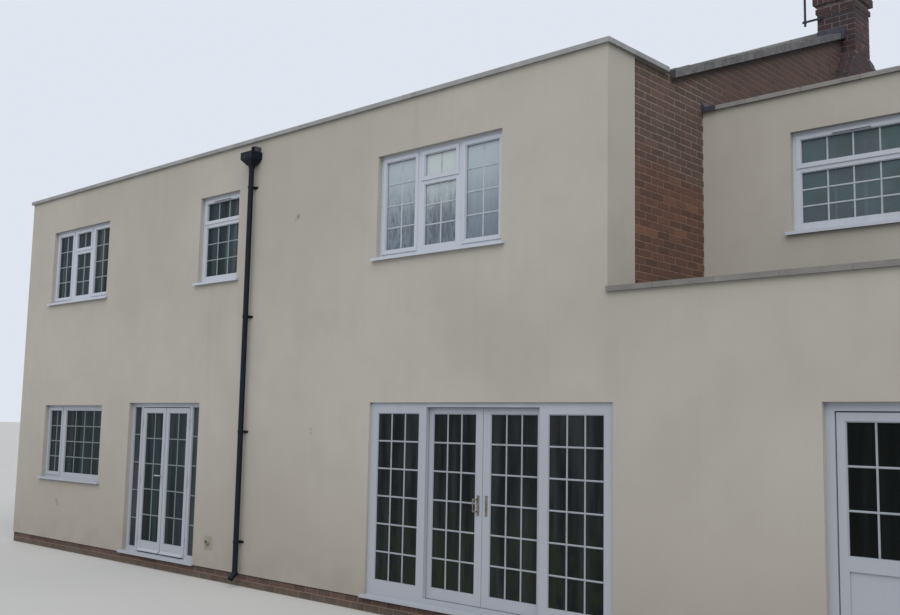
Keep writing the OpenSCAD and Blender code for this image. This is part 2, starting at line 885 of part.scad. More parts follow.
// Fascia and soffit of the front eaves, boxed in at both ends
module front_fascia() {
    inner = fascia_y - fascia_t;
    top = [for (y = [fascia_y, inner, house_depth]) [y, under_z(y)]];
    color(white_colour) at_house() {
        run_x(brick_recess, brick_x, [[house_depth, fascia_low], [fascia_y, fascia_low],
            top[0], top[1], [inner, fascia_low + fascia_t],
            [house_depth, fascia_low + fascia_t]]);
        for (x = [brick_recess, brick_x - fascia_t])
            run_x(x, x + fascia_t, [[house_depth, fascia_low], [fascia_y, fascia_low],
                top[0], top[2]]);
    }
}

// The groove that drips off a coping's underside, along X at y
module drip_groove(x0, x1, y, z) {
    block([x0, y - drip / 2, z - cut], [x1, y + drip / 2, z + drip]);
}

module main_coping() {
    over = wall_t + coping_out;
    top = main_coping_z + main_coping_t;
    nose = coping_out / 2;
    color(coping_colour) at_house()
        difference() {
            union() {
                block([-coping_out, -coping_out, main_coping_z],
                    [house_len + coping_out, over, top]);
                for (x = [-coping_out, house_len - wall_t])
                    block([x, over - cut, main_coping_z], [x + over, coping_run, top]);
            }
            drip_groove(-nose, house_len + nose, -nose, main_coping_z);
            on_right_side(house_len)
                drip_groove(-nose, coping_run + cut, -nose, main_coping_z);
            on_left_side(0)
                drip_groove(-nose, coping_run + cut, -nose, main_coping_z);
        }
}

module wing_copings() {
    over = wall_t + coping_out;
    low_top = low_coping_z + low_coping_t;
    wing_top = wing_coping_z + wing_coping_t;
    nose = coping_out / 2;
    color(coping_colour) at_house() {
        // Low parapet
        difference() {
            union() {
                block([house_len, -coping_out, low_coping_z],
                    [site_len + coping_out, over, low_top]);
                block([wing_in_x - coping_out, over, low_coping_z],
                    [site_len + coping_out, set_back, low_top]);
            }
            drip_groove(house_len, site_len + nose, -nose, low_coping_z);
            on_right_side(site_len)
                drip_groove(-nose, set_back + cut, -nose, low_coping_z);
        }
        // Three sides of the wing's flat roof
        difference() {
            union() {
                block([brick_x, set_back - coping_out, wing_coping_z],
                    [site_len + coping_out, set_back + over, wing_top]);
                block([wing_in_x - coping_out, set_back + over, wing_coping_z],
                    [site_len + coping_out, wing_y - over, wing_top]);
                block([brick_x, wing_y - over, wing_coping_z],
                    [site_len + coping_out, wing_y + coping_out, wing_top]);
            }
            for (y = [set_back - nose, wing_y + nose])
                drip_groove(brick_x - cut, site_len + nose, y, wing_coping_z);
            on_right_side(site_len)
                drip_groove(set_back - nose, wing_y + nose, -nose, wing_coping_z);
        }
    }
}

// The breast stands out of the gable, with sloping shoulders up to the stack's width
module chimney_breast() {
    color(brick_colour) at_house()
        run_x(brick_x, brick_x + stack_out, [
            [ridge_y - breast_w / 2, plinth_h], [ridge_y + breast_w / 2, plinth_h],
            [ridge_y + breast_w / 2, shoulder_z - shoulder_h],
            [ridge_y + stack_w / 2, shoulder_z], [ridge_y - stack_w / 2, shoulder_z],
            [ridge_y - breast_w / 2, shoulder_z - shoulder_h]]);
}

// A course of bricks that stands out round the stack
module oversail(z, h, out) {
    block([-out, -out, z], [stack_w + out, stack_w + out, z + h]);
}

module chimney_stack() {
    color(brick_colour) at_house()
        translate([stack_x, stack_y, 0])
            difference() {
                union() {
                    block([0, 0, shoulder_z], [stack_w, stack_w, stack_z]);
                    oversail(string_z, string_h, string_out);
                    oversail(band_z, band_h, band_out);
                    oversail(stack_z - band_h, band_h, band_out);
                    translate([stack_w / 2, stack_w / 2, stack_z])
                        cylinder(r1 = stack_w / 2, r2 = pot_r + pot_t, h = flaunch_h,
                            $fn = round_n);
                }
                translate([stack_w / 2, stack_w / 2, shoulder_z + stack_w])
                    rod_z(flue_r, stack_z);
            }
}

// A round pot with a rolled foot and rim over the flue
module chimney_pot() {
    color(clay_colour) at_house()
        translate([stack_x + stack_w / 2, stack_y + stack_w / 2, pot_z])
            rotate_extrude($fn = round_n)
                polygon([[pot_r - pot_t, 0], [pot_r + pot_t, 0], [pot_r + pot_t, pot_foot_h],
                    [pot_r, pot_foot_h + pot_t], [pot_r - pot_t, pot_h - pot_rim_h - pot_t],
                    [pot_r, pot_h - pot_rim_h], [pot_r, pot_h], [pot_r - 2 * pot_t, pot_h]]);
}

// Lead where the wing's coping meets the gable, drawn round the coping's end
module lead_cap() {
    sheet = lead_t / 2;
    top = wing_coping_z + wing_coping_t;
    y0 = set_back - coping_out;
    y1 = set_back + wall_t + coping_out;
    difference() {
        run_y(y0 - sheet, y1 + sheet, [
            [brick_x, wing_coping_z - lead_t], [brick_x + cap_w, wing_coping_z - lead_t],
            [brick_x + cap_w, top + sheet], [brick_x + cap_w / 4, top + lead_t],
            [brick_x, top + cap_up]]);
        block([0, y0, 0], [site_len, y1, top]);
    }
}

// An apron's outline on the rear side (-1) or the front side (1), down to low from the tiles
function apron_outline(side, low) = [
    for (p = [[0, low], [0, lead_t], [lead_run, lead_t], [lead_run, low]])
        let (y = ridge_y + side * (stack_w / 2 + p[0]))
        [y, tile_z(y) + p[1]]];

// Lead round the stack where it passes the tiles, and on the ends of the wing's coping
module lead_flashings() {
    color(lead_colour) at_house() {
        difference() {
            union() {
                // Upstands against the stack
                run_x(stack_x - lead_t, verge_x1, [
                    [stack_y - lead_t, tile_z(stack_y - lead_t)],
                    [stack_y - lead_t, tile_z(stack_y) + lead_up],
                    [ridge_y, ridge_z + lead_up],
                    [stack_y + stack_w + lead_t, tile_z(stack_y) + lead_up],
                    [stack_y + stack_w + lead_t, tile_z(stack_y - lead_t)],
                    [ridge_y, ridge_z]]);
                // Aprons dressed down the tiles and over the verge
                for (side = [-1, 1]) {
                    run_x(stack_x - lead_t, lead_x1, apron_outline(side, 0));
                    run_x(verge_x1 + running_gap, lead_x1, apron_outline(side, -roof_t));
                }
            }
            stack_space();
            ridge_rod(-house_len, stack_x, ridge_r + running_gap);
        }
        lead_cap();
        on_front(house_depth)
            lead_cap();
    }
}

// A slim mast held off the stack's corner by a bracket and a lashing band
module aerial_mast() {
    mast_x = stack_x - mast_gap;
    arm_y = stack_y - lead_t - mast_r;
    color(metal_colour) at_house() {
        difference() {
            block([stack_x - band_t, stack_y - band_t, lashing_z],
                [stack_x + stack_w + band_t, stack_y + stack_w + band_t,
                    lashing_z + lashing_h]);
            stack_space();
        }
        // Bracket: a plate on the band and an arm out to the mast's clamp
        difference() {
            union() {
                block([stack_x, arm_y, lashing_z],
                    [stack_x + mast_gap / 2, stack_y - band_t, lashing_z + lashing_h]);
                block([mast_x - arm_past, arm_y - band_t, lashing_z],
                    [stack_x + mast_gap / 2, arm_y + band_t, lashing_z + lashing_h]);
                translate([mast_x, arm_y, lashing_z])
                    rod_z(mast_r + 2 * band_t, lashing_h);
            }
            translate([mast_x, arm_y, 0])
                rod_z(mast_r + running_gap, stack_z);
        }
        translate([mast_x, arm_y, lashing_z - mast_foot])
            rod_z(mast_r, mast_len);
    }
}

module rear_windows() {
    color(white_colour) at_house() {
        for (win = rear_list)
            window_frame(win);
        translate([0, set_back, 0])
            window_frame(wing_window);
    }
}

module front_windows() {
    color(white_colour) at_house() {
        on_front(house_depth)
            for (win = front_list)
                window_frame(win);
        on_front(wing_y)
            for (win = wing_front_list)
                window_frame(win);
    }
}

module side_windows() {
    color(white_colour) at_house()
        for (win = side_list) {
            on_right_side(site_len)
                window_frame(win);
            on_left_side(brick_recess)
                window_frame(win);
        }
}

module window_glass() {
    color(glass_colour) at_house() {
        for (win = rear_list)
            window_panes_glass(win);
        translate([0, set_back, 0])
            window_panes_glass(wing_window);
        on_front(house_depth)
            for (win = front_list)
                window_panes_glass(win);
        on_front(wing_y)
            for (win = wing_front_list)
                window_panes_glass(win);
        for (win = side_list) {
            on_right_side(site_len)
                window_panes_glass(win);
            on_left_side(brick_recess)
                window_panes_glass(win);
        }
        pane(sidelight_pane, frame_in + glass_in);
        mirror_at(french_mid)
            pane(sidelight_pane, frame_in + glass_in);
        pane(fixed_pane, fixed_glass_y);
        mirror_at(patio_mid)
            pane(fixed_pane, fixed_glass_y);
    }
}

module window_sills() {
    color(white_colour) at_house() {
        for (win = rear_list)
            window_sill(win);
        translate([0, set_back, 0])
            window_sill(wing_window);
        on_front(house_depth)
            for (win = front_list)
                window_sill(win);
        on_front(wing_y)
            for (win = wing_front_list)
                window_sill(win);
        for (win = side_list) {
            on_right_side(site_len)
                window_sill(win);
            on_left_side(brick_recess)
                window_sill(win);
        }
    }
}

// A sill across a doorway of the rear face
module door_sill(x, w) {
    translate([x, 0, plinth_h])
        sill(w, door_sill_h);
}

// Hinges of a leaf whose edge is at x and whose hinge side is at y. The frame carries the
// lower knuckles and the leaf the upper ones, on one axis in the gap beside the leaf
function hinge_heights(z1) =
    [leaf_z0 + hinge_end, (leaf_z0 + z1 - hinge_h) / 2, z1 - hinge_end - hinge_h];

module hinge_half(z, h, plate_x) {
    translate([0, 0, z]) {
        rod_z(hinge_r, h);
        translate([plate_x, hinge_r - hinge_plate_t, 0])
            cube([hinge_plate, hinge_plate_t, h]);
    }
}

module frame_knuckles(x, y, z1) {
    translate([x - leaf_gap / 2, y - hinge_r, 0])
        for (z = hinge_heights(z1))
            hinge_half(z, hinge_h / 2, -hinge_plate);
}

module leaf_knuckles(x, y, z1) {
    translate([x - leaf_gap / 2, y - hinge_r, 0])
        for (z = hinge_heights(z1))
            hinge_half(z + hinge_h / 2 + running_gap, hinge_h / 2 - running_gap, 0);
}

// A lever handle on the face at y of a leaf that opens at x; the lever points away from x.
// Screwed-on pieces such as this lie a running gap off the leaf
module lever_handle(x, y) {
    plate_x = x - stile_w / 2;
    r = handle_plate_w / 2;
    translate([plate_x, y - running_gap, handle_z]) {
        block([-r, -plate_t, r - handle_plate_h / 2], [r, 0, handle_plate_h / 2 - r]);
        for (z = [r - handle_plate_h / 2, handle_plate_h / 2 - r])
            translate([0, -plate_t, z])
                rod_y(r, plate_t);
        translate([0, -lever_out, 0])
            rod_y(lever_r, lever_out);
        translate([-lever_len, -lever_out, 0])
            rod_x(lever_r, lever_len);
        translate([0, -lever_out, 0])
            sphere(r = lever_r, $fn = round_n);
        translate([-lever_len, -lever_out, 0])
            sphere(r = lever_r, $fn = round_n);
    }
}

// Two lever handles, on both faces of a leaf from y0 to y1
module lever_pair(x, y0, y1) {
    lever_handle(x, y0);
    translate([0, y0 + y1, 0])
        mirror([0, 1, 0])
            lever_handle(x, y0);
}

// The bar that throws rain off a leaf's foot, on the face at y
module foot_bar(x0, x1, y) {
    z = leaf_z0 + weather_bar / 4;
    back_y = y - running_gap;
    run_x(x0, x1, [[back_y, z], [back_y, z + 1.5 * weather_bar],
        [y - weather_bar, z + weather_bar / 2], [y - weather_bar, z]]);
}

// French doors: a frame with two sidelights, and two leaves that open outwards
module french_door_frame() {
    color(white_colour) at_house() {
        door_sill(french_x, french_w);
        frame_knuckles(french_leaf_x0, frame_in, french_leaf_z1);
        mirror_at(french_mid)
            frame_knuckles(french_leaf_x0, frame_in, french_leaf_z1);
        difference() {
            block([french_x, frame_in, door_z],
                [french_x + french_w, frame_in + frame_d, door_head_z]);
            pane_cuts(sidelight_pane, frame_in, frame_in + frame_d, frame_in + glass_in);
            mirror_at(french_mid)
                pane_cuts(sidelight_pane, frame_in, frame_in + frame_d, frame_in + glass_in);
            block([french_x + side_in, 0, door_z - cut],
                [french_x + french_w - side_in, wall_t, door_head_z - door_face]);
        }
    }
}

module french_leaf() {
    leaf_knuckles(french_leaf_x0, frame_in, french_leaf_z1);
    foot_bar(french_leaf_x0 + hinge_plate, french_leaf_x1 - meeting_gap, frame_in);
    difference() {
        block([french_leaf_x0, frame_in, leaf_z0],
            [french_leaf_x1, frame_in + leaf_t, french_leaf_z1]);
        pane_cuts(french_pane, frame_in, frame_in + leaf_t,
            frame_in + (leaf_t - glass_t) / 2);
    }
}

module french_leaf_glass() {
    pane(french_pane, frame_in + (leaf_t - glass_t) / 2);
}

module french_leaf_left() {
    color(white_colour) at_house() {
        french_leaf();
        lever_pair(french_leaf_x1, frame_in, frame_in + leaf_t);
    }
}

module french_leaf_right() {
    color(white_colour) at_house()
        mirror_at(french_mid)
            french_leaf();
}

module french_glass_left() {
    color(glass_colour) at_house()
        french_leaf_glass();
}

module french_glass_right() {
    color(glass_colour) at_house()
        mirror_at(french_mid)
            french_leaf_glass();
}

// Patio doors: two fixed outer panels, and two leaves that slide behind them
module patio_door_frame() {
    track_y = leaf_track_y + (panel_t - track_w) / 2;
    color(white_colour) at_house() {
        run_x(patio_x, patio_x + patio_w, [[0, plinth_h], [patio_depth, plinth_h],
            [patio_depth, door_z], [patio_in, door_z], [0, door_z - sill_fall / 2]]);
        run_x(patio_x - sill_horn, patio_x + patio_w + sill_horn, [[0, plinth_h],
            [0, door_z - sill_fall / 2], [-sill_out, door_z - sill_fall],
            [-sill_out, plinth_h]]);
        difference() {
            block([patio_x, patio_in, door_z], [patio_x + patio_w, patio_depth, door_head_z]);
            block([patio_x + patio_face, 0, patio_z0],
                [patio_x + patio_w - patio_face, wall_t, patio_z1]);
        }
        // The rail that the sliding leaves run on
        block([patio_x + patio_face, track_y, patio_z0],
            [patio_x + patio_w - patio_face, track_y + track_w,
                patio_z0 + slide_gap - running_gap]);
        fixed_panel();
        mirror_at(patio_mid)
            fixed_panel();
    }
}

module fixed_panel() {
    difference() {
        block([patio_x + patio_face, patio_in, patio_z0],
            [patio_x + patio_face + fixed_w, patio_in + panel_t, patio_z1]);
        pane_cuts(fixed_pane, patio_in, patio_in + panel_t, fixed_glass_y);
    }
}

module patio_leaf() {
    difference() {
        block([patio_leaf_x0, leaf_track_y, patio_z0 + slide_gap],
            [patio_leaf_x1, leaf_track_y + panel_t, patio_z1 - slide_gap]);
        pane_cuts(leaf_pane, leaf_track_y, leaf_track_y + panel_t, leaf_glass_y);
    }
}

// A handle's plate on a sliding leaf's meeting stile
module pull_plate() {
    block([pull_x - pull_plate_w / 2, leaf_track_y - plate_t, pull_z - pull_plate_h / 2],
        [pull_x + pull_plate_w / 2, leaf_track_y, pull_z + pull_plate_h / 2]);
}

// A bowed grip from its plate, out and to the side
module grip() {
    translate([pull_x, leaf_track_y, pull_z])
        for (z = [-grip_h / 2, grip_h / 2]) {
            translate([0, -grip_out, z])
                rod_y(grip_r, grip_out);
            translate([-grip_side, -grip_out, z])
                rod_x(grip_r, grip_side);
            for (x = [-grip_side, 0])
                translate([x, -grip_out, z])
                    sphere(r = grip_r, $fn = round_n);
        }
    translate([pull_x - grip_side, leaf_track_y - grip_out, pull_z - grip_h / 2])
        rod_z(grip_r, grip_h);
}

module patio_leaf_left() {
    color(white_colour) at_house()
        patio_leaf();
}

module patio_leaf_right() {
    color(white_colour) at_house()
        mirror_at(patio_mid)
            patio_leaf();
}

module patio_glass_left() {
    color(glass_colour) at_house()
        pane(leaf_pane, leaf_glass_y);
}

module patio_glass_right() {
    color(glass_colour) at_house()
        mirror_at(patio_mid)
            pane(leaf_pane, leaf_glass_y);
}

module patio_handle_left() {
    color(brass_colour) at_house() {
        pull_plate();
        grip();
    }
}

module patio_handle_right() {
    color(brass_colour) at_house()
        mirror_at(patio_mid)
            pull_plate();
}

// Back door: half glazed, hinged at its left and opening inwards.
// Flips the hinges to the inner face of the back door
module hinges_inside() {
    translate([0, 2 * (frame_in + frame_d), 0])
        mirror([0, 1, 0])
            children();
}

module back_door_frame() {
    color(white_colour) at_house() {
        door_sill(back_x, back_w);
        difference() {
            block([back_x, frame_in, door_z],
                [back_x + back_w, frame_in + frame_d, door_head_z]);
            block([back_x + back_face, 0, door_z - cut],
                [back_x + back_w - back_face, wall_t, door_head_z - back_face]);
        }
        hinges_inside()
            frame_knuckles(back_leaf_x0, frame_in + frame_d, back_leaf_z1);
    }
}

// A leaf with a glazed or plain upper part and a panel sunk in both faces
module panelled_leaf(x0, x1, y, z1) {
    difference() {
        block([x0, y, leaf_z0], [x1, y + leaf_t, z1]);
        for (side = [y - cut, y + leaf_t - panel_sink])
            block([x0 + stile_w, side, back_panel_low],
                [x1 - stile_w, side + panel_sink + cut, back_panel_top]);
    }
}

module back_door_leaf() {
    color(white_colour) at_house() {
        hinges_inside()
            leaf_knuckles(back_leaf_x0, frame_in + frame_d, back_leaf_z1);
        foot_bar(back_leaf_x0 + leaf_gap, back_leaf_x1 - leaf_gap, back_leaf_y);
        difference() {
            panelled_leaf(back_leaf_x0, back_leaf_x1, back_leaf_y, back_leaf_z1);
            pane_cuts(back_pane, back_leaf_y, back_leaf_y + leaf_t,
                back_leaf_y + (leaf_t - glass_t) / 2);
        }
        lever_pair(back_leaf_x1, back_leaf_y, back_leaf_y + leaf_t);
    }
}

module back_door_glass() {
    color(glass_colour) at_house()
        pane(back_pane, back_leaf_y + (leaf_t - glass_t) / 2);
}

// The front repeats the back door, shut, with a plain upper panel in place of the glass
module front_door() {
    x1 = front_door_x + back_w;
    leaf = [front_door_x + back_face, x1 - back_face];
    color(white_colour) at_house()
        on_front(house_depth) {
            door_sill(front_door_x, back_w);
            difference() {
                block([front_door_x, frame_in, door_z], [x1, frame_in + frame_d, door_head_z]);
                block([leaf[0], 0, door_z], [leaf[1], back_leaf_y, door_head_z - back_face]);
                for (z = [[back_panel_low, back_panel_top],
                        [back_glass_z, back_leaf_z1 - stile_w]])
                    block([leaf[0] + stile_w, 0, z[0]],
                        [leaf[1] - stile_w, back_leaf_y + panel_sink, z[1]]);
            }
            lever_handle(leaf[1], back_leaf_y);
        }
}

// The hopper's body, shrunk by t on every side: upright sides over a taper to its socket
module hopper_body(t, top) {
    taper_z = hopper_z - hopper_rim;
    low_z = hopper_z - hopper_h + clip_h;
    r = socket_r - t;
    intersection() {
        run_y(-hopper_d, 0, [[t - hopper_w / 2, top], [t - hopper_w / 2, taper_z],
            [-r, low_z], [r, low_z], [hopper_w / 2 - t, taper_z], [hopper_w / 2 - t, top]]);
        run_x(-hopper_w, hopper_w, [[t - hopper_d, top], [t - hopper_d, taper_z],
            [pipe_y - r, low_z], [pipe_y + r, low_z], [-t, taper_z], [-t, top]]);
    }
}

// Hopper head: an open box that tapers to the socket of the pipe
module hopper_head() {
    color(black_colour) at_house()
        translate([pipe_x, 0, 0])
            difference() {
                union() {
                    hopper_body(0, hopper_z);
                    translate([0, pipe_y, hopper_z - hopper_h])
                        rod_z(socket_r, clip_h + gutter_t);
                }
                hopper_body(gutter_t, hopper_z + cut);
                translate([0, pipe_y, hopper_z - hopper_h - cut])
                    rod_z(pipe_r - pipe_t, 2 * clip_h);
            }
}

// A pipe through [y, z] points with a rounded socket at each bend, bored for bore_h at its
// top and for shoe_bore at its open end
module pipe(points, bore_h) {
    n = len(points) - 1;
    difference() {
        union() {
            for (i = [1 : n])
                pipe_leg(points[i - 1], points[i], pipe_r, norm(points[i] - points[i - 1]));
            for (i = [1 : n - 1])
                translate([0, points[i][0], points[i][1]])
                    sphere(r = socket_r, $fn = round_n);
        }
        translate([0, points[0][0], points[0][1] - bore_h])
            rod_z(pipe_r - pipe_t, bore_h + cut);
        pipe_leg(past(points[n - 1], points[n], cut), points[n - 1], pipe_r - pipe_t,
            shoe_bore + cut);
    }
}

// A rod of length h from one [y, z] point towards another
module pipe_leg(from, to, r, h) {
    leg = to - from;
    translate([0, from[0], from[1]])
        rotate([atan2(-leg[0], leg[1]), 0, 0])
            rod_z(r, h);
}

// A clip round the pipe, with its back plate on the wall
module pipe_clip() {
    plate = pipe_r + 2 * clip_t + clip_h / 2;
    difference() {
        union() {
            translate([0, pipe_y, 0])
                rod_z(pipe_r + clip_t, clip_h);
            block([-clip_h, pipe_y + pipe_r, 0], [clip_h, 0, clip_h]);
            block([-plate, -clip_t, 0], [plate, 0, clip_h]);
        }
        translate([0, pipe_y, -cut])
            rod_z(pipe_r + running_gap, clip_h + 2 * cut);
    }
}

module pipe_clips() {
    for (z = clip_heights)
        translate([0, 0, z - clip_h / 2])
            pipe_clip();
}

module downpipe() {
    off_y = house_depth - gutter_y;
    top = hopper_z - hopper_h;
    color(black_colour) at_house() {
        translate([pipe_x, 0, 0]) {
            pipe([[pipe_y, top], [pipe_y, shoe_z], shoe_end], top - shoe_z - 2 * pipe_r);
            pipe_clips();
        }
        on_front(house_depth)
            translate([front_pipe_x, 0, 0]) {
                pipe([[off_y, outlet_z], [off_y, outlet_z - 2 * clip_h], [pipe_y, neck_z],
                    [pipe_y, shoe_z], shoe_end], clip_h / 2);
                pipe_clips();
            }
    }
}

// A half-round trough along X from the given centre line
module trough(x0, x1, r) {
    intersection() {
        translate([x0, gutter_y, gutter_z])
            rod_x(r, x1 - x0);
        block([x0, gutter_y - r, gutter_z - r], [x1, gutter_y + r, gutter_z]);
    }
}

// Half-round gutter with stop ends, brackets on the fascia and an outlet to the pipe. Its
// lengths end a running gap short of every second bracket
module front_gutter() {
    n = ceil((verge_x1 - verge_x0) / bracket_run);
    run = (verge_x1 - verge_x0 - clip_h) / n;
    color(black_colour) at_house()
        difference() {
            union() {
                trough(verge_x0, verge_x1, gutter_r);
                for (i = [0 : n])
                    translate([verge_x0 + i * run, 0, 0])
                        trough(0, clip_h, gutter_r + gutter_t);
                for (i = [1 : n - 1])
                    block([verge_x0 + i * run, fascia_y, gutter_z - gutter_r],
                        [verge_x0 + i * run + clip_h, gutter_y - gutter_r + gutter_t / 2,
                            gutter_z]);
                translate([front_pipe_x, gutter_y, outlet_z])
                    rod_z(socket_r, clip_h + gutter_r / 2);
            }
            translate([verge_x0 + gutter_t, gutter_y, gutter_z])
                rod_x(gutter_r - gutter_t, verge_x1 - verge_x0 - 2 * gutter_t);
            translate([front_pipe_x, gutter_y, outlet_z - cut])
                rod_z(pipe_r - pipe_t, gutter_r);
            for (i = [2 : 2 : n - 1])
                block([verge_x0 + i * run - running_gap, fascia_y - cut, outlet_z],
                    [verge_x0 + i * run, gutter_y + 2 * gutter_r, gutter_z + cut]);
        }
}

plinth();
ground_floor();
rear_wall_lower();
rear_wall_band();
rear_wall_upper();
wall_returns();
brick_gable();
left_gable();
front_wall();
wing_rear_wall();
wing_side_wall();
wing_front_wall();
first_floor();
wing_floor();
ceiling();
flat_roofs();
eaves_wall();
rear_roof_slope();
front_roof_slope();
ridge_tiles();
front_fascia();
main_coping();
wing_copings();
chimney_breast();
chimney_stack();
chimney_pot();
lead_flashings();
aerial_mast();
rear_windows();
front_windows();
side_windows();
window_glass();
window_sills();
french_door_frame();
french_leaf_left();
french_leaf_right();
french_glass_left();
french_glass_right();
patio_door_frame();
patio_leaf_left();
patio_leaf_right();
patio_glass_left();
patio_glass_right();
patio_handle_left();
patio_handle_right();
back_door_frame();
back_door_leaf();
back_door_glass();
front_door();
hopper_head();
downpipe();
front_gutter();
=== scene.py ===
import json
import math
import random

import bpy
from mathutils import Matrix, Vector


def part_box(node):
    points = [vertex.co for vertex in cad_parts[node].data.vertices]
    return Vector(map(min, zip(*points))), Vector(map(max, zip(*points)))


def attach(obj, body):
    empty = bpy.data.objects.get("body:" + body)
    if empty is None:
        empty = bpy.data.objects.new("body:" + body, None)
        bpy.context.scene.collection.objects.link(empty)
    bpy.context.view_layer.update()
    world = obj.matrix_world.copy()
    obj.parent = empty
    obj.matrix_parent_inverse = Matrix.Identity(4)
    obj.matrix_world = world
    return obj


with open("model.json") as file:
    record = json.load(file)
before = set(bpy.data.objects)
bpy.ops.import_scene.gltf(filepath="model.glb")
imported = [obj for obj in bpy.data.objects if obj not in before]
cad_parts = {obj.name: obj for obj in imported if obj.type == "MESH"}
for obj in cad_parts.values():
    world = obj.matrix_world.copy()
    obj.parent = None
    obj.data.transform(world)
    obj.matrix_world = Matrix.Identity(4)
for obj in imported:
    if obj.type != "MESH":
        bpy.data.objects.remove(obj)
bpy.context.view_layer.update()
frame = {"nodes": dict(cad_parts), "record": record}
scene = bpy.context.scene

# House coordinates, in metres: x from the left corner of the rear face, y behind that
# face, z from the ground. The part's origin is below the middle of the plan.
OFF_X, OFF_Y = 8.0, 5.225

# The plan and the storeys. Brick walls stand BRICK_IN behind the rendered ones.
HOUSE_X, SITE_X = 11.7, 16.0
DEPTH, SET_BACK = 10.45, 1.817
BRICK_IN, RETURN_D, WALL_T = 0.015, 0.463, 0.3
BRICK_X, WING_Y = HOUSE_X - BRICK_IN, DEPTH - SET_BACK
PLINTH_Z, DOOR_HEAD_Z = 0.15, 2.26
LOW_ROOF_Z, LOW_COPING_Z = 2.97, 3.265
WING_ROOF_Z, MAIN_FELT_Z, MAIN_COPING_Z = 5.29, 5.45, 5.63

# The tiled roof
EAVES_Y, EAVES_Z, FRONT_EAVES_Y = 1.15, 5.686, DEPTH + 0.15
RIDGE_Y = (EAVES_Y + FRONT_EAVES_Y) / 2
SLOPE = math.tan(math.radians(21.5))
RIDGE_Z = EAVES_Z + (RIDGE_Y - EAVES_Y) * SLOPE
ROOF_T, TILE_STEP, TILE_GAUGE = 0.095, 0.02, 0.2625
COURSES = round((RIDGE_Y - EAVES_Y) / TILE_GAUGE)
VERGE_OUT = 0.065
VERGE_X0, VERGE_X1 = BRICK_IN - VERGE_OUT, BRICK_X + VERGE_OUT
FASCIA_IN, FASCIA_H = 0.03, 0.15

# The chimney: a breast that narrows over two shoulders to a stack with three bands
STACK_W, STACK_OUT = 0.51, 0.195
STACK_X, STACK_Y = BRICK_X + STACK_OUT - STACK_W, RIDGE_Y - STACK_W / 2
STACK_Z, BAND_Z, STRING_Z = RIDGE_Z + 0.753, RIDGE_Z + 0.353, RIDGE_Z + 0.223
BAND_H, BAND_OUT, STRING_H, STRING_OUT = 0.11, 0.045, 0.075, 0.018
BREAST_W, SHOULDER_Z, SHOULDER_H = 1.2, RIDGE_Z - 0.39, 0.55
SHOULDER_RUN = (BREAST_W - STACK_W) / 2
SHOULDER_LEN = math.hypot(SHOULDER_RUN, SHOULDER_H)
POT_Z = 8.74

# The French doors and the patio doors
FRENCH_X, FRENCH_W = 3.46, 1.77
FRENCH_MID = FRENCH_X + FRENCH_W / 2
PATIO_X, PATIO_W = 8.55, 3.21

# Small marks on the render: (x, z, radius, strength)
MARKS = [(7.176, 4.535, 0.045, 0.6), (7.14, 4.51, 0.05, 0.25), (7.545, 1.95, 0.03, 0.35),
         (7.552, 1.9, 0.03, 0.3), (1.43, 0.745, 0.05, 0.5), (1.47, 0.69, 0.045, 0.5),
         (2.965, 1.949, 0.02, 0.4)]


def tile_z(y):
    """The height of the roof slopes' tops at a depth."""
    return RIDGE_Z - abs(y - RIDGE_Y) * SLOPE


def under_z(y):
    return tile_z(y) - ROOF_T


def part(x, y, z):
    """A point in house coordinates, in the part's frame."""
    return (x - OFF_X, y - OFF_Y, z)


def shade(colour, times):
    return tuple(times * c for c in colour)


# Materials

X, Y, Z = range(3)
RISE, FALL = (0.0, 1.0), (1.0, 0.0)


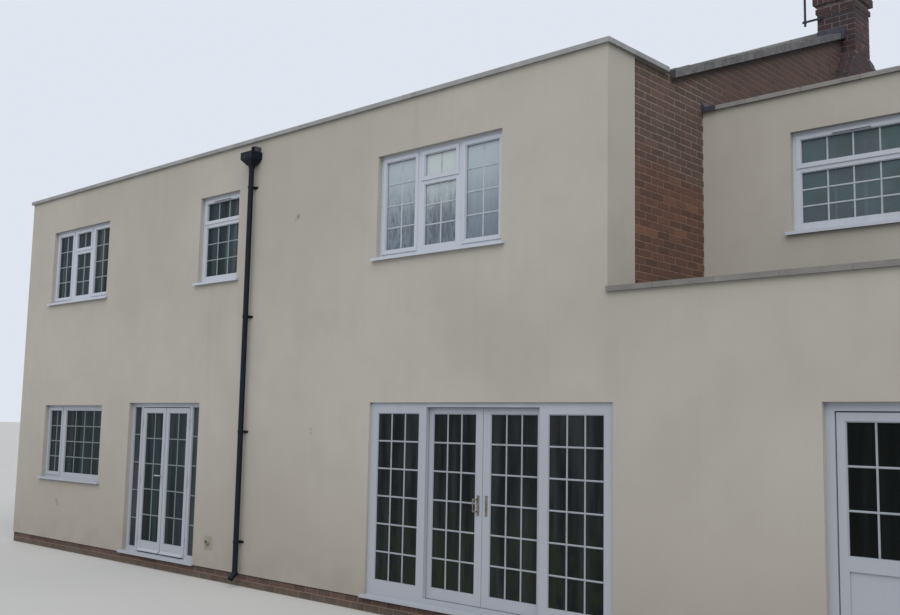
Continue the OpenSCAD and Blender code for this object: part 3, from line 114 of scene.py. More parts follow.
class Nodes:
    """A material's node tree, with short calls for the nodes used here."""

    def __init__(self, name):
        self.mat = bpy.data.materials.new(name)
        self.mat.use_nodes = True
        self.tree = self.mat.node_tree
        self.tree.nodes.clear()
        self.bsdf = self.new("BsdfPrincipled")
        self.link(self.bsdf.outputs[0], self.new("OutputMaterial").inputs[0])
        self.coord = self.new("TexCoord").outputs["Object"]

    def link(self, a, b):
        self.tree.links.new(a, b)

    def put(self, socket, value):
        if isinstance(value, bpy.types.NodeSocket):
            self.link(value, socket)
        else:
            socket.default_value = (*value, 1.0) if socket.type == "RGBA" else value

    def new(self, kind, **inputs):
        """A new node, with a value or a socket for some of its inputs."""
        node = self.tree.nodes.new("ShaderNode" + kind)
        for key, value in inputs.items():
            self.put(node.inputs[key], value)
        return node

    def noise(self, scale, detail=3.0, rough=0.55, stretch=None):
        """Noise, finer along an axis where stretch is larger."""
        place = self.coord
        if stretch:
            place = self.new("Mapping", Vector=place, Scale=stretch).outputs[0]
        node = self.new("TexNoise", Vector=place, Scale=scale, Detail=detail, Roughness=rough)
        return node.outputs["Fac"]

    def voronoi(self, scale):
        return self.new("TexVoronoi", Vector=self.coord, Scale=scale).outputs["Distance"]

    def ramp(self, fac, low, high, to_low=0.0, to_high=1.0):
        node = self.new("MapRange", Value=fac, **{"From Min": low, "From Max": high,
                                                  "To Min": to_low, "To Max": to_high})
        node.interpolation_type = "SMOOTHSTEP"
        return node.outputs["Result"]

    def patches(self, low, high, *noise):
        """Patches of noise, from 0 where it is under low to 1 where it is over high."""
        return self.ramp(self.noise(*noise), low, high)

    def uneven(self, scale, low, high):
        """A roughness between low and high, in patches."""
        return self.ramp(self.noise(scale), 0.3, 0.7, low, high)

    def span(self, axis, start, end, to=RISE):
        """A ramp between two places on an axis, in house coordinates."""
        shift = (OFF_X, OFF_Y, 0.0)[axis]
        return self.ramp(self.axis(axis), start - shift, end - shift, *to)

    def math(self, op, a, b=0.0):
        node = self.new("Math")
        node.operation = op
        self.put(node.inputs[0], a)
        self.put(node.inputs[1], b)
        return node.outputs[0]

    def times(self, a, b):
        return self.math("MULTIPLY", a, b)

    def plus(self, a, b):
        return self.math("ADD", a, b)

    def most(self, a, b):
        return self.math("MAXIMUM", a, b)

    def apart(self, a, b):
        """How far a is from b."""
        return self.math("ABSOLUTE", self.math("SUBTRACT", a, b))

    def mix(self, fac, a, b):
        node = self.new("Mix")
        node.data_type = "RGBA"
        self.put(node.inputs[0], fac)
        self.put(node.inputs[6], a)
        self.put(node.inputs[7], b)
        return node.outputs[2]

    def start(self, fac, a, b):
        """Begins the material's colour as a mix of two."""
        self.colour = self.mix(fac, a, b)

    def tint(self, mask, amount, other):
        """Turns the colour into another by up to amount, where mask is 1."""
        self.colour = self.mix(self.times(mask, amount), self.colour, other)
        return self.colour

    def cover(self, mask, other):
        self.colour = self.mix(mask, self.colour, other)
        return self.colour

    def parted(self, vector, i):
        return self.new("SeparateXYZ", Vector=vector).outputs[i]

    def axis(self, i):
        return self.parted(self.coord, i)

    def facing(self, i):
        """How far a face looks along axis i, from 0 to 1."""
        normal = self.new("NewGeometry").outputs["Normal"]
        return self.math("ABSOLUTE", self.parted(normal, i))

    def right_gable(self):
        """1 on the gable over the wing, 0 on the other walls and towards the front."""
        return self.times(self.span(Y, 7.2, 10.2, FALL),
                          self.times(self.span(X, 10.5, 11.0), self.facing(X)))

    def high_up(self):
        """1 on the right gable's upper brickwork, which was laid with paler mortar."""
        height = self.plus(self.axis(Z), self.times(self.noise(1.4), 0.8))
        return self.times(self.right_gable(), self.ramp(height, 4.85, 5.15))

    def far_back(self):
        """1 on the right gable from the wing's set-back front on, where it is redder."""
        return self.times(self.right_gable(), self.span(Y, 1.6, 2.5))

    def verge_shadow(self):
        """1 on a gable close under its verge, where a painted shadow falls on brick and mortar, 0
        further down.
        """
        rise = self.times(self.apart(self.axis(Y), RIDGE_Y - OFF_Y), SLOPE)
        down = self.math("SUBTRACT", RIDGE_Z - ROOF_T, self.plus(self.axis(Z), rise))
        behind = self.span(Y, EAVES_Y - 0.02, EAVES_Y + 0.05)
        return self.times(behind, self.ramp(down, 0.02, 0.12, *FALL))

    def spot(self, centre, radius):
        """1 at a point in house coordinates, and 0 further from it than the radius."""
        node = self.new("VectorMath", Vector=self.coord)
        node.operation = "DISTANCE"
        node.inputs[1].default_value = part(*centre)
        return self.ramp(node.outputs["Value"], 0.2 * radius, radius, *FALL)

    def tone(self):
        """The tone value that Build gives each brick or tile."""
        node = self.new("Attribute")
        node.attribute_name = "tone"
        return node.outputs["Fac"]

    def bump(self, height, strength, distance=0.002):
        node = self.new("Bump", Strength=strength, Distance=distance, Height=height)
        self.link(node.outputs[0], self.bsdf.inputs["Normal"])

    def done(self, rough, metallic=0.0, ior=1.5, specular=0.5):
        for key, value in (("Base Color", self.colour), ("Roughness", rough), ("IOR", ior),
                           ("Metallic", metallic), ("Specular IOR Level", specular)):
            self.put(self.bsdf.inputs[key], value)
        return self.mat


def render_material():
    """Trowelled cream render: broad patches, faint runs, small marks, a damp foot and painted
    shade low down.
    """
    net = Nodes("render")
    net.start(net.patches(0.35, 0.65, 0.45), (0.361, 0.339, 0.301), (0.402, 0.38, 0.341))
    net.tint(net.patches(0.45, 0.7, 2.3, 4, 0.6), 0.2, (0.32, 0.298, 0.262))
    runs = net.patches(0.5, 0.78, 1, 4, 0.6, (5.5, 5.5, 0.35))
    net.tint(runs, 0.12, (0.27, 0.25, 0.21))
    # Painted shade: the render darkens towards the ground, fading out by 2.2 m up.
    net.tint(net.span(Z, PLINTH_Z, 2.2, FALL), 0.65, (0.292, 0.265, 0.23))
    foot = net.times(net.span(Z, PLINTH_Z, 0.7, FALL), net.patches(0.3, 0.75, 3, 4))
    net.tint(foot, 0.4, (0.215, 0.19, 0.15))
    for x, z, radius, strength in MARKS:
        net.tint(net.spot((x, 0.0, z), radius), strength, (0.115, 0.105, 0.09))
    grain = net.noise(260, 2)
    trowel = net.noise(9, 3, 0.5, (1, 1, 0.5))
    net.bump(net.plus(net.times(grain, 0.35), trowel), 0.22, 0.003)
    return net.done(net.ramp(grain, 0.2, 0.8, 0.86, 0.97))


def mortar_material():
    """What shows between the bricks: sandy mortar with damp patches."""
    net = Nodes("mortar")
    dark = (0.225, 0.150, 0.105)
    net.start(net.high_up(), dark, (0.27, 0.235, 0.19))
    net.tint(net.far_back(), 0.8, (0.138, 0.108, 0.092))
    net.tint(net.patches(0.35, 0.7, 18), 0.4, shade(dark, 0.6))
    # Painted shadow on the mortar close under the verges.
    net.tint(net.verge_shadow(), 0.75, (0.028, 0.025, 0.025))
    net.bump(net.noise(180, 2), 0.5, 0.003)
    return net.done(0.95)


def chimney_mortar_material():
    """Mortar that is dark on the chimney breast and pale on the stack, with dark patches."""
    net = Nodes("chimney_mortar")
    stack = net.span(Z, SHOULDER_Z - 0.1, SHOULDER_Z + 0.25)
    net.start(stack, (0.112, 0.088, 0.086), (0.19, 0.156, 0.152))
    net.tint(net.patches(0.4, 0.65, 16, 4), 0.6, (0.06, 0.048, 0.048))
    net.bump(net.noise(180, 2), 0.5, 0.003)
    return net.done(0.95)


def brick_material():
    """Bricks: each has its own tone, with flecks in it. Soot lies over all in patches, and a
    painted shadow darkens them under the verges."""
    net = Nodes("brick")
    tone = net.tone()
    cool = (0.090, 0.044, 0.032)
    net.start(net.ramp(tone, 0.1, 0.75), cool, (0.132, 0.061, 0.041))
    net.cover(net.ramp(tone, 0.85, 1), (0.18, 0.084, 0.05))
    net.tint(net.high_up(), 0.7, net.mix(tone, (0.068, 0.048, 0.041), (0.108, 0.076, 0.062)))
    net.tint(net.far_back(), 0.6, net.mix(tone, (0.06, 0.03, 0.028), (0.098, 0.05, 0.043)))
    net.tint(net.patches(0.42, 0.72, 45, 4, 0.65), 0.3, shade(cool, 0.5))
    # Real soot in patches, and a painted shadow close under the verges.
    soot = net.most(net.times(net.patches(0.4, 0.7, 1.1), 0.25),
                    net.times(net.verge_shadow(), 0.75))
    net.cover(soot, (0.03, 0.024, 0.022))
    net.bump(net.noise(120, 4, 0.6), 0.45, 0.003)
    return net.done(net.ramp(tone, 0.0, 1, 0.82, 0.96))


def chimney_brick_material():
    """Old red bricks: sooty, with red ones among them."""
    net = Nodes("chimney_brick")
    tone = net.tone()
    net.start(net.ramp(tone, 0.2, 0.8), (0.036, 0.019, 0.022), (0.085, 0.034, 0.036))
    net.cover(net.ramp(tone, 0.88, 1), (0.15, 0.05, 0.042))
    soot = net.patches(0.38, 0.66, 1.6, 4, 0.6, (1, 1, 0.6))
    net.tint(soot, 0.65, (0.024, 0.02, 0.024))
    flecks = net.patches(0.42, 0.72, 45, 4, 0.65)
    net.tint(flecks, 0.3, (0.03, 0.018, 0.018))
    net.bump(net.noise(110, 4, 0.6), 0.5, 0.004)
    return net.done(net.ramp(tone, 0.0, 1, 0.82, 0.96))


def plinth_material():
    """Bricks near the ground: dusty, green with damp at the foot, with a painted shadow under the
    render.
    """
    net = Nodes("plinth_brick")
    net.start(net.tone(), (0.05, 0.028, 0.022), (0.098, 0.053, 0.042))
    dust = net.patches(0.4, 0.75, 9, 5, 0.7)
    net.tint(dust, 0.45, (0.12, 0.095, 0.08))
    damp = net.times(net.span(Z, 0.01, 0.11, FALL), net.patches(0.3, 0.6, 5))
    net.tint(damp, 0.8, (0.08, 0.078, 0.058))
    # Painted shadow under the render's overhang.
    render_shadow = net.span(Z, PLINTH_Z - 0.022, PLINTH_Z - 0.004)
    net.tint(render_shadow, 0.7, (0.018, 0.013, 0.012))
    net.bump(net.noise(120, 4, 0.6), 0.4, 0.003)
    return net.done(0.92)


def joint_lines(net, run, width, axis):
    """1 on the joints of lengths laid along an axis, 0 between them. They start 20 m before
    the part's origin, outside the house."""
    from_start = net.plus(net.axis(axis), 20)
    place = net.math("FRACT", net.math("DIVIDE", from_start, run))
    return net.ramp(net.apart(place, 0.5), 0.5 - width / run, 0.5 - 0.4 * width / run)


def coping_material(name, base, stain, run):
    """Cast coping stones of length run, with pointed joints, drips and lichen."""
    net = Nodes(name)
    joint_w = 0.006
    net.start(net.patches(0.35, 0.7, 3.5, 4, 0.6), base, shade(base, 0.78))
    net.tint(net.patches(0.55, 0.75, 11, 4, 0.7), 0.6, stain)
    lichen = net.times(net.ramp(net.voronoi(26), 0.22, 0.05), net.patches(0.55, 0.7, 2))
    net.tint(lichen, 0.5, shade(base, 1.3))
    along_x = net.times(joint_lines(net, run, joint_w, X),
                        net.math("LESS_THAN", net.facing(X), 0.5))
    along_y = net.times(joint_lines(net, run, joint_w, Y), net.facing(X))
    net.tint(net.most(along_x, along_y), 0.6, (0.07, 0.07, 0.065))
    low = net.span(Z, LOW_COPING_Z + 0.3, MAIN_COPING_Z - 0.6, FALL)
    damp = net.times(low, net.ramp(net.noise(4, 4), 0.2, 0.6, 0.1, 0.5))
    net.cover(damp, stain)
    net.bump(net.noise(70, 4, 0.6), 0.35, 0.003)
    return net.done(net.uneven(9, 0.7, 0.9))


def tile_material():
    """Weathered concrete tiles, each with its own tone, moss and pale spots."""
    net = Nodes("roof_tile")
    net.start(net.tone(), (0.104, 0.102, 0.105), (0.158, 0.154, 0.151))
    moss = net.times(net.patches(0.52, 0.72, 2.2, 5, 0.7), net.patches(0.35, 0.65, 30))
    net.tint(moss, 0.7, (0.085, 0.09, 0.045))
    net.tint(net.ramp(net.voronoi(20), 0.16, 0.05), 0.35, (0.3, 0.3, 0.26))
    net.bump(net.noise(140), 0.4)
    return net.done(net.uneven(14, 0.72, 0.92))


def roof_bed_material():
    """The slab under the tiles: dark with painted shade between them, and mortar bedding on the
    verges, which is sooty near the ridge."""
    net = Nodes("roof_bed")
    net.start(net.patches(0.35, 0.7, 9, 4, 0.7), (0.105, 0.103, 0.108), (0.168, 0.165, 0.166))
    net.tint(net.patches(0.48, 0.68, 26), 0.75, (0.066, 0.066, 0.072))
    soot = net.ramp(net.apart(net.axis(Y), RIDGE_Y - OFF_Y), 0.6, 2, 0.55, 0.0)
    net.cover(soot, (0.058, 0.06, 0.072))
    # Painted shade: faces that don't look along x, seen between the tiles, are near black.
    net.start(net.ramp(net.facing(X), 0.6, 0.8), (0.045, 0.045, 0.048), net.colour)
    net.bump(net.noise(90), 0.6, 0.004)
    return net.done(0.93)


def felt_material():
    """Mineral felt in rolls a metre wide, with bonded laps."""
    net = Nodes("felt")
    net.start(net.patches(0.35, 0.7, 1.2, 4), (0.095, 0.1, 0.105), (0.15, 0.155, 0.16))
    net.cover(joint_lines(net, 1, 0.012, X), (0.035, 0.036, 0.038))
    net.tint(net.patches(0.58, 0.7, 2.4, 4), 0.4, (0.17, 0.165, 0.13))
    net.bump(net.voronoi(420), 0.5)
    return net.done(0.96)


# Between the ground storey's openings and the upper ones
STOREYS = (2.4, 3.6)


def plastic_material(name, base, dirt, rough, amount, gloss=0.35, downstairs_shade=1):
    """Extruded plastic: a smooth skin with faint runs and patches of dirt. Downstairs a painted
    shade dims its colour by the factor given last."""
    net = Nodes(name)
    # Painted shade: the colour is dimmer downstairs.
    if downstairs_shade < 1.0:
        level = net.ramp(net.plus(net.axis(Z), net.noise(2)), *STOREYS)
        base = net.mix(level, shade(base, downstairs_shade), base)
    runs = net.patches(0.5, 0.8, 1, 3, 0.6, (14, 14, 1.6))
    net.colour = base
    net.tint(runs, amount, dirt)
    net.tint(net.patches(0.55, 0.8, 7, 4), amount, dirt)
    net.bump(net.noise(40, 2), 0.04, 0.001)
    return net.done(net.uneven(6, rough, rough + 0.12), specular=gloss)


def bar_material():
    """Bars in the glazing: as white as the frames at the right; dimmer and greener at the left,
    with painted shade and painted reflections of trees, and dimmer downstairs with painted shade."""
    net = Nodes("glazing_bars")
    # Painted shade: the bars are dimmer downstairs.
    low = net.span(Z, *STOREYS, FALL)
    white = net.mix(low, (0.395, 0.432, 0.474), (0.3, 0.325, 0.36))
    shaded = net.mix(low, (0.215, 0.262, 0.275), (0.15, 0.178, 0.182))
    net.start(net.span(X, 6, 8, FALL), white, shaded)
    net.tint(net.patches(0.45, 0.8, 9, 4), 0.35, (0.13, 0.15, 0.14))
    net.bump(net.noise(40, 2), 0.04, 0.001)
    return net.done(net.uneven(6, 0.35, 0.5), specular=0.3)


def garden_glass(net, streaks):
    """Painted reflection: dark panes with some lawn low down, nearly black in the back door."""
    net.start(streaks, (0.026, 0.031, 0.034), (0.072, 0.084, 0.088))
    lawn = net.times(net.span(Z, 0.8, 1.35, FALL), net.patches(0.4, 0.65, 6, 4, 0.6))
    net.tint(lawn, 0.7, (0.052, 0.07, 0.036))
    patio_end = PATIO_X + PATIO_W
    return net.cover(net.span(X, patio_end + 0.04, patio_end + 0.19, (0.0, 0.75)),
                     (0.01, 0.013, 0.011))


def tree_glass(net, streaks, gleam, cloud):
    """Painted reflections of trees: panes in bands of green, teal and brown, darker downstairs,
    and curtains behind the sidelights.
    """
    bands = net.patches(0.4, 0.6, 1, 2, 0.5, (8, 8, 0.3))
    brown = net.patches(0.5, 0.62, 1.3, 2, 0.5, (6, 6, 0.5))
    net.start(bands, (0.02, 0.036, 0.038), (0.078, 0.112, 0.136))
    net.tint(streaks, 0.45, (0.085, 0.125, 0.14))
    net.tint(brown, 0.6, (0.072, 0.064, 0.056))
    net.tint(gleam, 0.6, (0.23, 0.27, 0.285))
    net.cover(net.span(Z, 2.2, 3.8, (0.3, 0.0)), (0.01, 0.016, 0.018))
    beside = net.apart(net.axis(X), FRENCH_MID - OFF_X)
    curtain = net.times(net.span(Z, 2.2, 2.4, FALL), net.times(
        net.ramp(beside, 0.62, 0.68), net.ramp(beside, 0.9, 1, *FALL)))
    return net.tint(curtain, net.ramp(cloud, 0.3, 0.7, 0.3, 0.8), (0.13, 0.138, 0.16))


def milky_glass(net, gleam, cloud):
    """The wing window's panes: a painted reflection of a dull sky with green and grey in it, and a
    painted gleam low down.
    """
    net.start(cloud, (0.08, 0.118, 0.134), (0.122, 0.168, 0.19))
    net.tint(net.patches(0.48, 0.62, 2.6), 0.6, (0.098, 0.104, 0.128))
    green = net.ramp(net.noise(1.9, 2), 0.4, 0.52, *FALL)
    net.tint(green, 0.5, (0.074, 0.118, 0.104))
    # Painted gleam, strongest low on the panes.
    low_gleam = net.times(gleam, net.span(Z, 4.1, 4.5, (1, 0.1)))
    return net.tint(low_gleam, 0.6, (0.25, 0.265, 0.295))


def sky_glass(net):
    """The panes over the patio doors: a pale sky over bare trees, brightest in the middle."""
    net.start(net.span(Z, 3.95, 5), (0.19, 0.232, 0.282), (0.43, 0.495, 0.545))
    bright = net.times(net.span(X, 9.15, 9.35), net.span(X, 9.7, 9.9, FALL))
    net.tint(bright, net.span(Z, 4.2, 4.8, (0.0, 0.7)), (0.56, 0.63, 0.62))
    twigs = net.patches(0.46, 0.6, 3, 6, 0.8, (7, 7, 2.2))
    trunks = net.patches(0.52, 0.66, 1.5, 3, 0.6, (7, 7, 0.7))
    wood = net.times(net.span(Z, 4.15, 4.9, FALL), net.span(X, 9.75, 10, (1, 0.25)))
    return net.tint(wood, net.most(net.times(twigs, 0.55), net.times(trunks, 0.5)),
                    (0.04, 0.046, 0.052))


def glass_material():
    """Sealed units, toned by what they mirror: a dark garden, trees at the left, and a pale
    sky upstairs at the right. Dark panes let some of the room show."""
    net = Nodes("glass")
    streaks = net.patches(0.32, 0.72, 1, 4, 0.65, (9, 9, 0.8))
    gleam = net.times(net.patches(0.57, 0.68, 1, 3, 0.6, (12, 12, 0.3)),
                      net.patches(0.35, 0.6, 1.7))
    cloud = net.noise(1.1)
    left = net.span(X, 6, 8.3, FALL)
    upper = net.span(Z, 3.4, 3.8)
    wing = net.times(upper, net.span(X, 11, 12.4))
    pale = net.times(upper, net.times(net.span(X, 7.4, 8.4), net.span(X, 10.8, 12.2, FALL)))
    garden, trees = garden_glass(net, streaks), tree_glass(net, streaks, gleam, cloud)
    milky, sky = milky_glass(net, gleam, cloud), sky_glass(net)
    net.start(left, garden, trees)
    net.cover(wing, milky)
    net.cover(pale, sky)
    opaque = net.plus(net.times(left, 0.07), net.times(net.most(wing, pale), 0.54))
    clear = net.most(net.math("SUBTRACT", 0.62, opaque), 0.08)
    net.link(clear, net.bsdf.inputs["Transmission Weight"])
    net.bump(net.noise(2.2, 2), 0.06, 0.01)
    return net.done(0.03, ior=1.12, specular=0.02)


def lead_material():
    """Dressed lead, dull and streaked."""
    net = Nodes("lead")
    net.start(net.patches(0.35, 0.7, 7, 4, 0.6), (0.04, 0.043, 0.06), (0.07, 0.073, 0.094))
    net.tint(net.patches(0.5, 0.75, 28), 0.4, (0.11, 0.11, 0.118))
    net.bump(net.noise(16, 4, 0.6), 0.5, 0.005)
    return net.done(net.uneven(10, 0.55, 0.75), metallic=0.2, specular=0.3)


def metal_material(name, base, dull, rough, metallic):
    """Metal that has gone dull in patches."""
    net = Nodes(name)
    net.start(net.patches(0.4, 0.7, 24, 4, 0.6), base, dull)
    net.bump(net.noise(90), 0.15, 0.001)
    return net.done(net.uneven(15, rough, rough + 0.2), metallic)


def clay_material():
    """A terracotta pot with a sooty rim."""
    net = Nodes("clay")
    net.start(net.noise(9, 4), (0.19, 0.076, 0.05), (0.265, 0.122, 0.076))
    height = net.plus(net.axis(Z), net.times(net.noise(12), 0.2))
    net.cover(net.ramp(height, POT_Z - 0.08, POT_Z + 0.08), (0.02, 0.018, 0.017))
    net.bump(net.noise(60, 4), 0.3)
    return net.done(0.85)


def floor_material():
    """Screed and plasterboard."""
    net = Nodes("floor")
    net.start(net.patches(0.3, 0.7, 1.6, 5, 0.6), (0.31, 0.3, 0.28), (0.43, 0.42, 0.39))
    net.bump(net.noise(70), 0.25)
    return net.done(0.85)


MORTAR, BRICK, PLINTH_BRICK = mortar_material(), brick_material(), plinth_material()
CHIMNEY_BRICK, TILE, BARS = chimney_brick_material(), tile_material(), bar_material()
WHITE = plastic_material("white_pvc", (0.455, 0.484, 0.548), (0.29, 0.3, 0.33), 0.3, 0.2,
                         downstairs_shade=0.75)
BLACK = plastic_material("black_pvc", (0.006, 0.009, 0.016), (0.02, 0.024, 0.032), 0.45, 0.35,
                         0.15)
GASKET = plastic_material("gasket", (0.045, 0.047, 0.05), (0.1, 0.1, 0.1), 0.5, 0.3)
PLATE = plastic_material("outlet_plastic", (0.26, 0.25, 0.22), (0.14, 0.13, 0.11), 0.5, 0.4)
LEAD = lead_material()
BRASS = metal_material("brass", (0.245, 0.205, 0.16), (0.095, 0.078, 0.07), 0.4, 0.6)
LOOKS = {
    "render": render_material(), "brick": MORTAR, "chimney_brick": chimney_mortar_material(),
    "floor": floor_material(), "felt": felt_material(), "roof_tile": roof_bed_material(),
    "coping": coping_material("coping", (0.285, 0.287, 0.29), (0.15, 0.15, 0.155), 3),
    "wing_coping": coping_material("wing_coping", (0.235, 0.227, 0.215),
                                   (0.115, 0.112, 0.108), 0.59),
    "clay": clay_material(), "lead": LEAD, "glass": glass_material(), "brass": BRASS,
    "mast_metal": metal_material("mast_metal", (0.034, 0.033, 0.04), (0.022, 0.018, 0.02),
                                 0.6, 0.3),
    "white_pvc": WHITE, "black_pvc": BLACK,
}
for item in frame["record"]["subparts"]:
    mesh = frame["nodes"][item["node"]].data
    mesh.materials.clear()
    mesh.materials.append(LOOKS[item["material_slot"]])


# Mesh helpers


class Build:
    """Collects the solids of one piece. Each solid has one tone value."""

    def __init__(self):
        self.verts, self.faces, self.tones = [], [], []

    def add(self, verts, faces, tone=0.5):
        n = len(self.verts)
        self.verts += [part(*p) for p in verts]
        self.faces += [tuple(n + i for i in f) for f in faces]
        self.tones += [tone] * len(verts)

    def frustum(self, low, high, tone=0.5, closed=False):
        """A solid between two outlines with the same number of points. Its faces look
        outward whichever way round the outlines run."""
        n = len(low)
        faces = [tuple(range(n, 2 * n))]
        faces += [(i, (i + 1) % n, n + (i + 1) % n, n + i) for i in range(n)]
        if closed:
            faces.append(tuple(reversed(range(n))))
        points = [Vector(p) for p in high]
        normal = sum((p.cross(q) for p, q in zip(points, points[1:] + points[:1])), Vector())
        if normal.dot(points[0] - Vector(low[0])) < 0:
            faces = [tuple(reversed(f)) for f in faces]
        self.add(list(low) + list(high), faces, tone)

    def piece(self, name, material, slot, body="house"):
        mesh = bpy.data.meshes.new(name)
        mesh.from_pydata(self.verts, [], self.faces)
        mesh.attributes.new("tone", "FLOAT", "POINT").data.foreach_set("value", self.tones)
        mesh.validate()
        mesh.materials.append(material)
        obj = bpy.data.objects.new(name, mesh)
        scene.collection.objects.link(obj)
        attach(obj, body)


def quads(rows, closed=False):
    """The faces between each row of points and the next, as numbers of points."""
    n = len(rows[0])
    return [(j * n + k, j * n + (k + 1) % n, (j + 1) * n + (k + 1) % n, (j + 1) * n + k)
            for j in range(len(rows) - 1) for k in range(n if closed else n - 1)]


def clip(polygon, inside):
    """The part of a convex polygon for which inside(point) is not negative."""
    out = []
    for i, a in enumerate(polygon):
        b = polygon[(i + 1) % len(polygon)]
        da, db = inside(a), inside(b)
        if da >= 0:
            out.append(a)
        if (da >= 0) != (db >= 0):
            t = da / (da - db)
            out.append((a[0] + t * (b[0] - a[0]), a[1] + t * (b[1] - a[1])))
    return out


# A wall is a function that turns (x along the wall, y behind its face, z) into a point in
# house coordinates


def rear(y0=0.0):
    return lambda x, y, z: (x, y0 + y, z)


def front(y0):
    return lambda x, y, z: (x, y0 - y, z)


def right(x0):
    return lambda x, y, z: (x0 - y, x, z)


def left(x0):
    return lambda x, y, z: (x0 + y, x, z)


def rim(x0, x1, z0, z1, inset=0.0):
    """The corners of a rectangle that is drawn in by inset on each side."""
    return [(x0 + inset, z0 + inset), (x1 - inset, z0 + inset), (x1 - inset, z1 - inset),
            (x0 + inset, z1 - inset)]


def edge_strips(x0, x1, z0, z1, width, lap=0.0):
    """Four strips inside a rectangle's edges. The upright ones run lap into the others."""
    low, high = z0 + width - lap, z1 - width + lap
    return [(x0, x1, z0, z0 + width), (x0, x1, z1 - width, z1),
            (x0, x0 + width, low, high), (x1 - width, x1, low, high)]


def plate(build, wall, rect, y0, y1, slope=0.0, inset=0.0, closed=False):
    """A flat solid on a rectangle (x0, x1, z0, z1), from depth y0 out to y1, with edges that
    slope in."""
    build.frustum([wall(x, y0, z) for x, z in rim(*rect, inset)],
                  [wall(x, y1, z) for x, z in rim(*rect, inset + slope)], closed=closed)


# Bricks. The shortest that is laid is MIN_BRICK long, and MIN_CUT high where it is cut.
# What overlaps by less than TOUCH only touches.

JOINT, COURSE, STRETCHER, HEADER = 0.01, 0.075, 0.215, 0.1025
RELIEF, RELIEF_VARY, CHAMFER = 0.003, 0.001, 0.0015
MIN_BRICK, MIN_CUT, MIN_HALF, TOUCH, ROUNDING = 0.025, 0.014, 0.006, 0.02, 1e-6
SOLDIER = STRETCHER + 2 * JOINT
UNDER_GAP = 0.004
rng = random.Random(7)


def free_runs(x0, x1, z0, z1, holes):
    """The parts of x0..x1 that no hole (x0, x1, z0, z1) takes at that height."""
    runs = [(x0, x1)]
    for h0, h1, hole_z0, hole_z1 in holes:
        if hole_z1 <= z0 + TOUCH or hole_z0 >= z1 - TOUCH:
            continue
        runs = [r for a, b in runs for r in ((a, min(b, h0)), (max(a, h1), b))
                if r[1] - r[0] > TOUCH]
    return runs


def put_brick(build, wall, x0, x1, z0, z1, top=None):
    """One brick on a wall, cut off over top(x)."""
    outline = rim(x0, x1, z0, z1)
    if top:
        outline = clip(outline, lambda p: top(p[0]) - p[1])
    if len(outline) < 3:
        return
    xs, zs = [p[0] for p in outline], [p[1] for p in outline]
    mid_x, mid_z = sum(xs) / len(xs), sum(zs) / len(zs)
    half_x, half_z = (max(xs) - min(xs)) / 2, (max(zs) - min(zs)) / 2
    if min(half_x, half_z) < MIN_HALF:
        return
    kx, kz = 1 - CHAMFER / half_x, 1 - CHAMFER / half_z
    out = RELIEF + rng.uniform(-RELIEF_VARY, RELIEF_VARY)
    high = [wall(mid_x + (x - mid_x) * kx, -out, mid_z + (z - mid_z) * kz) for x, z in outline]
    build.frustum([wall(x, 0.0, z) for x, z in outline], high, rng.random())


def lay_run(build, wall, a, b, low, high, shift, top=None):
    """The bricks of one course between a and b."""
    m = math.floor((a - shift) / (STRETCHER + JOINT))
    while m * (STRETCHER + JOINT) + shift < b:
        start = max(a, m * (STRETCHER + JOINT) + shift)
        end = min(b, m * (STRETCHER + JOINT) + shift + STRETCHER)
        if end - start > MIN_BRICK:
            put_brick(build, wall, start, end, low, high, top)
        m += 1


def lay(build, wall, x0, x1, z0, z1, holes=(), top=None, phase=0, first=PLINTH_Z, cuts=()):
    """Stretcher bond on a wall from x0 to x1, in courses counted from first. Cut bricks fill
    the course over and under each hole in cuts."""
    k = math.floor((z0 - first) / COURSE + ROUNDING)
    while first + k * COURSE < z1 - TOUCH:
        low = first + k * COURSE + JOINT / 2
        high = low + COURSE - JOINT
        low, high = max(low, z0), min(high, z1)
        shift = ((k + phase) % 2) * (HEADER + JOINT)
        for a, b in free_runs(x0, x1, low, high, holes):
            lay_run(build, wall, a, b, low, high, shift, top)
        for a, b, hole_z0, hole_z1 in cuts:
            for c, d in ((low, hole_z0 - JOINT / 2), (hole_z1, high)):
                if low <= c < d <= high and d - c > MIN_CUT and hole_z1 > low + TOUCH:
                    lay_run(build, wall, a + JOINT / 2, b - JOINT / 2, c, d, shift)
        k += 1


def soldier_top(head):
    """Where the bond goes on over an opening's head: at the next course line if it is near."""
    top = head + SOLDIER
    line = PLINTH_Z + math.ceil((top - PLINTH_Z) / COURSE - ROUNDING) * COURSE
    return line if line - top < MIN_BRICK else top


def soldiers(build, wall, openings):
    """A row of bricks on end over the head of each opening."""
    for x, z, w, h, *_ in openings:
        count = max(1, round(w / COURSE))
        for i in range(count):
            put_brick(build, wall, x + i * w / count + JOINT / 2,
                      x + (i + 1) * w / count - JOINT / 2, z + h + JOINT,
                      soldier_top(z + h) - JOINT / 2)


def wall_holes(openings):
    """The openings with the soldier course over each, as holes in the bond."""
    return [(x, x + w, z, soldier_top(z + h)) for x, z, w, h, *_ in openings]


def gable_top(y):
    return under_z(y) - UNDER_GAP if y > EAVES_Y else MAIN_COPING_Z


def breast_half(z):
    """Half of the chimney breast's width at a height."""
    shrink = SHOULDER_RUN * (z - SHOULDER_Z + SHOULDER_H) / SHOULDER_H
    return max(STACK_W / 2, BREAST_W / 2 - max(0.0, shrink))


# Windows. Each is (x, underside of the sill, width, opening height, kind).

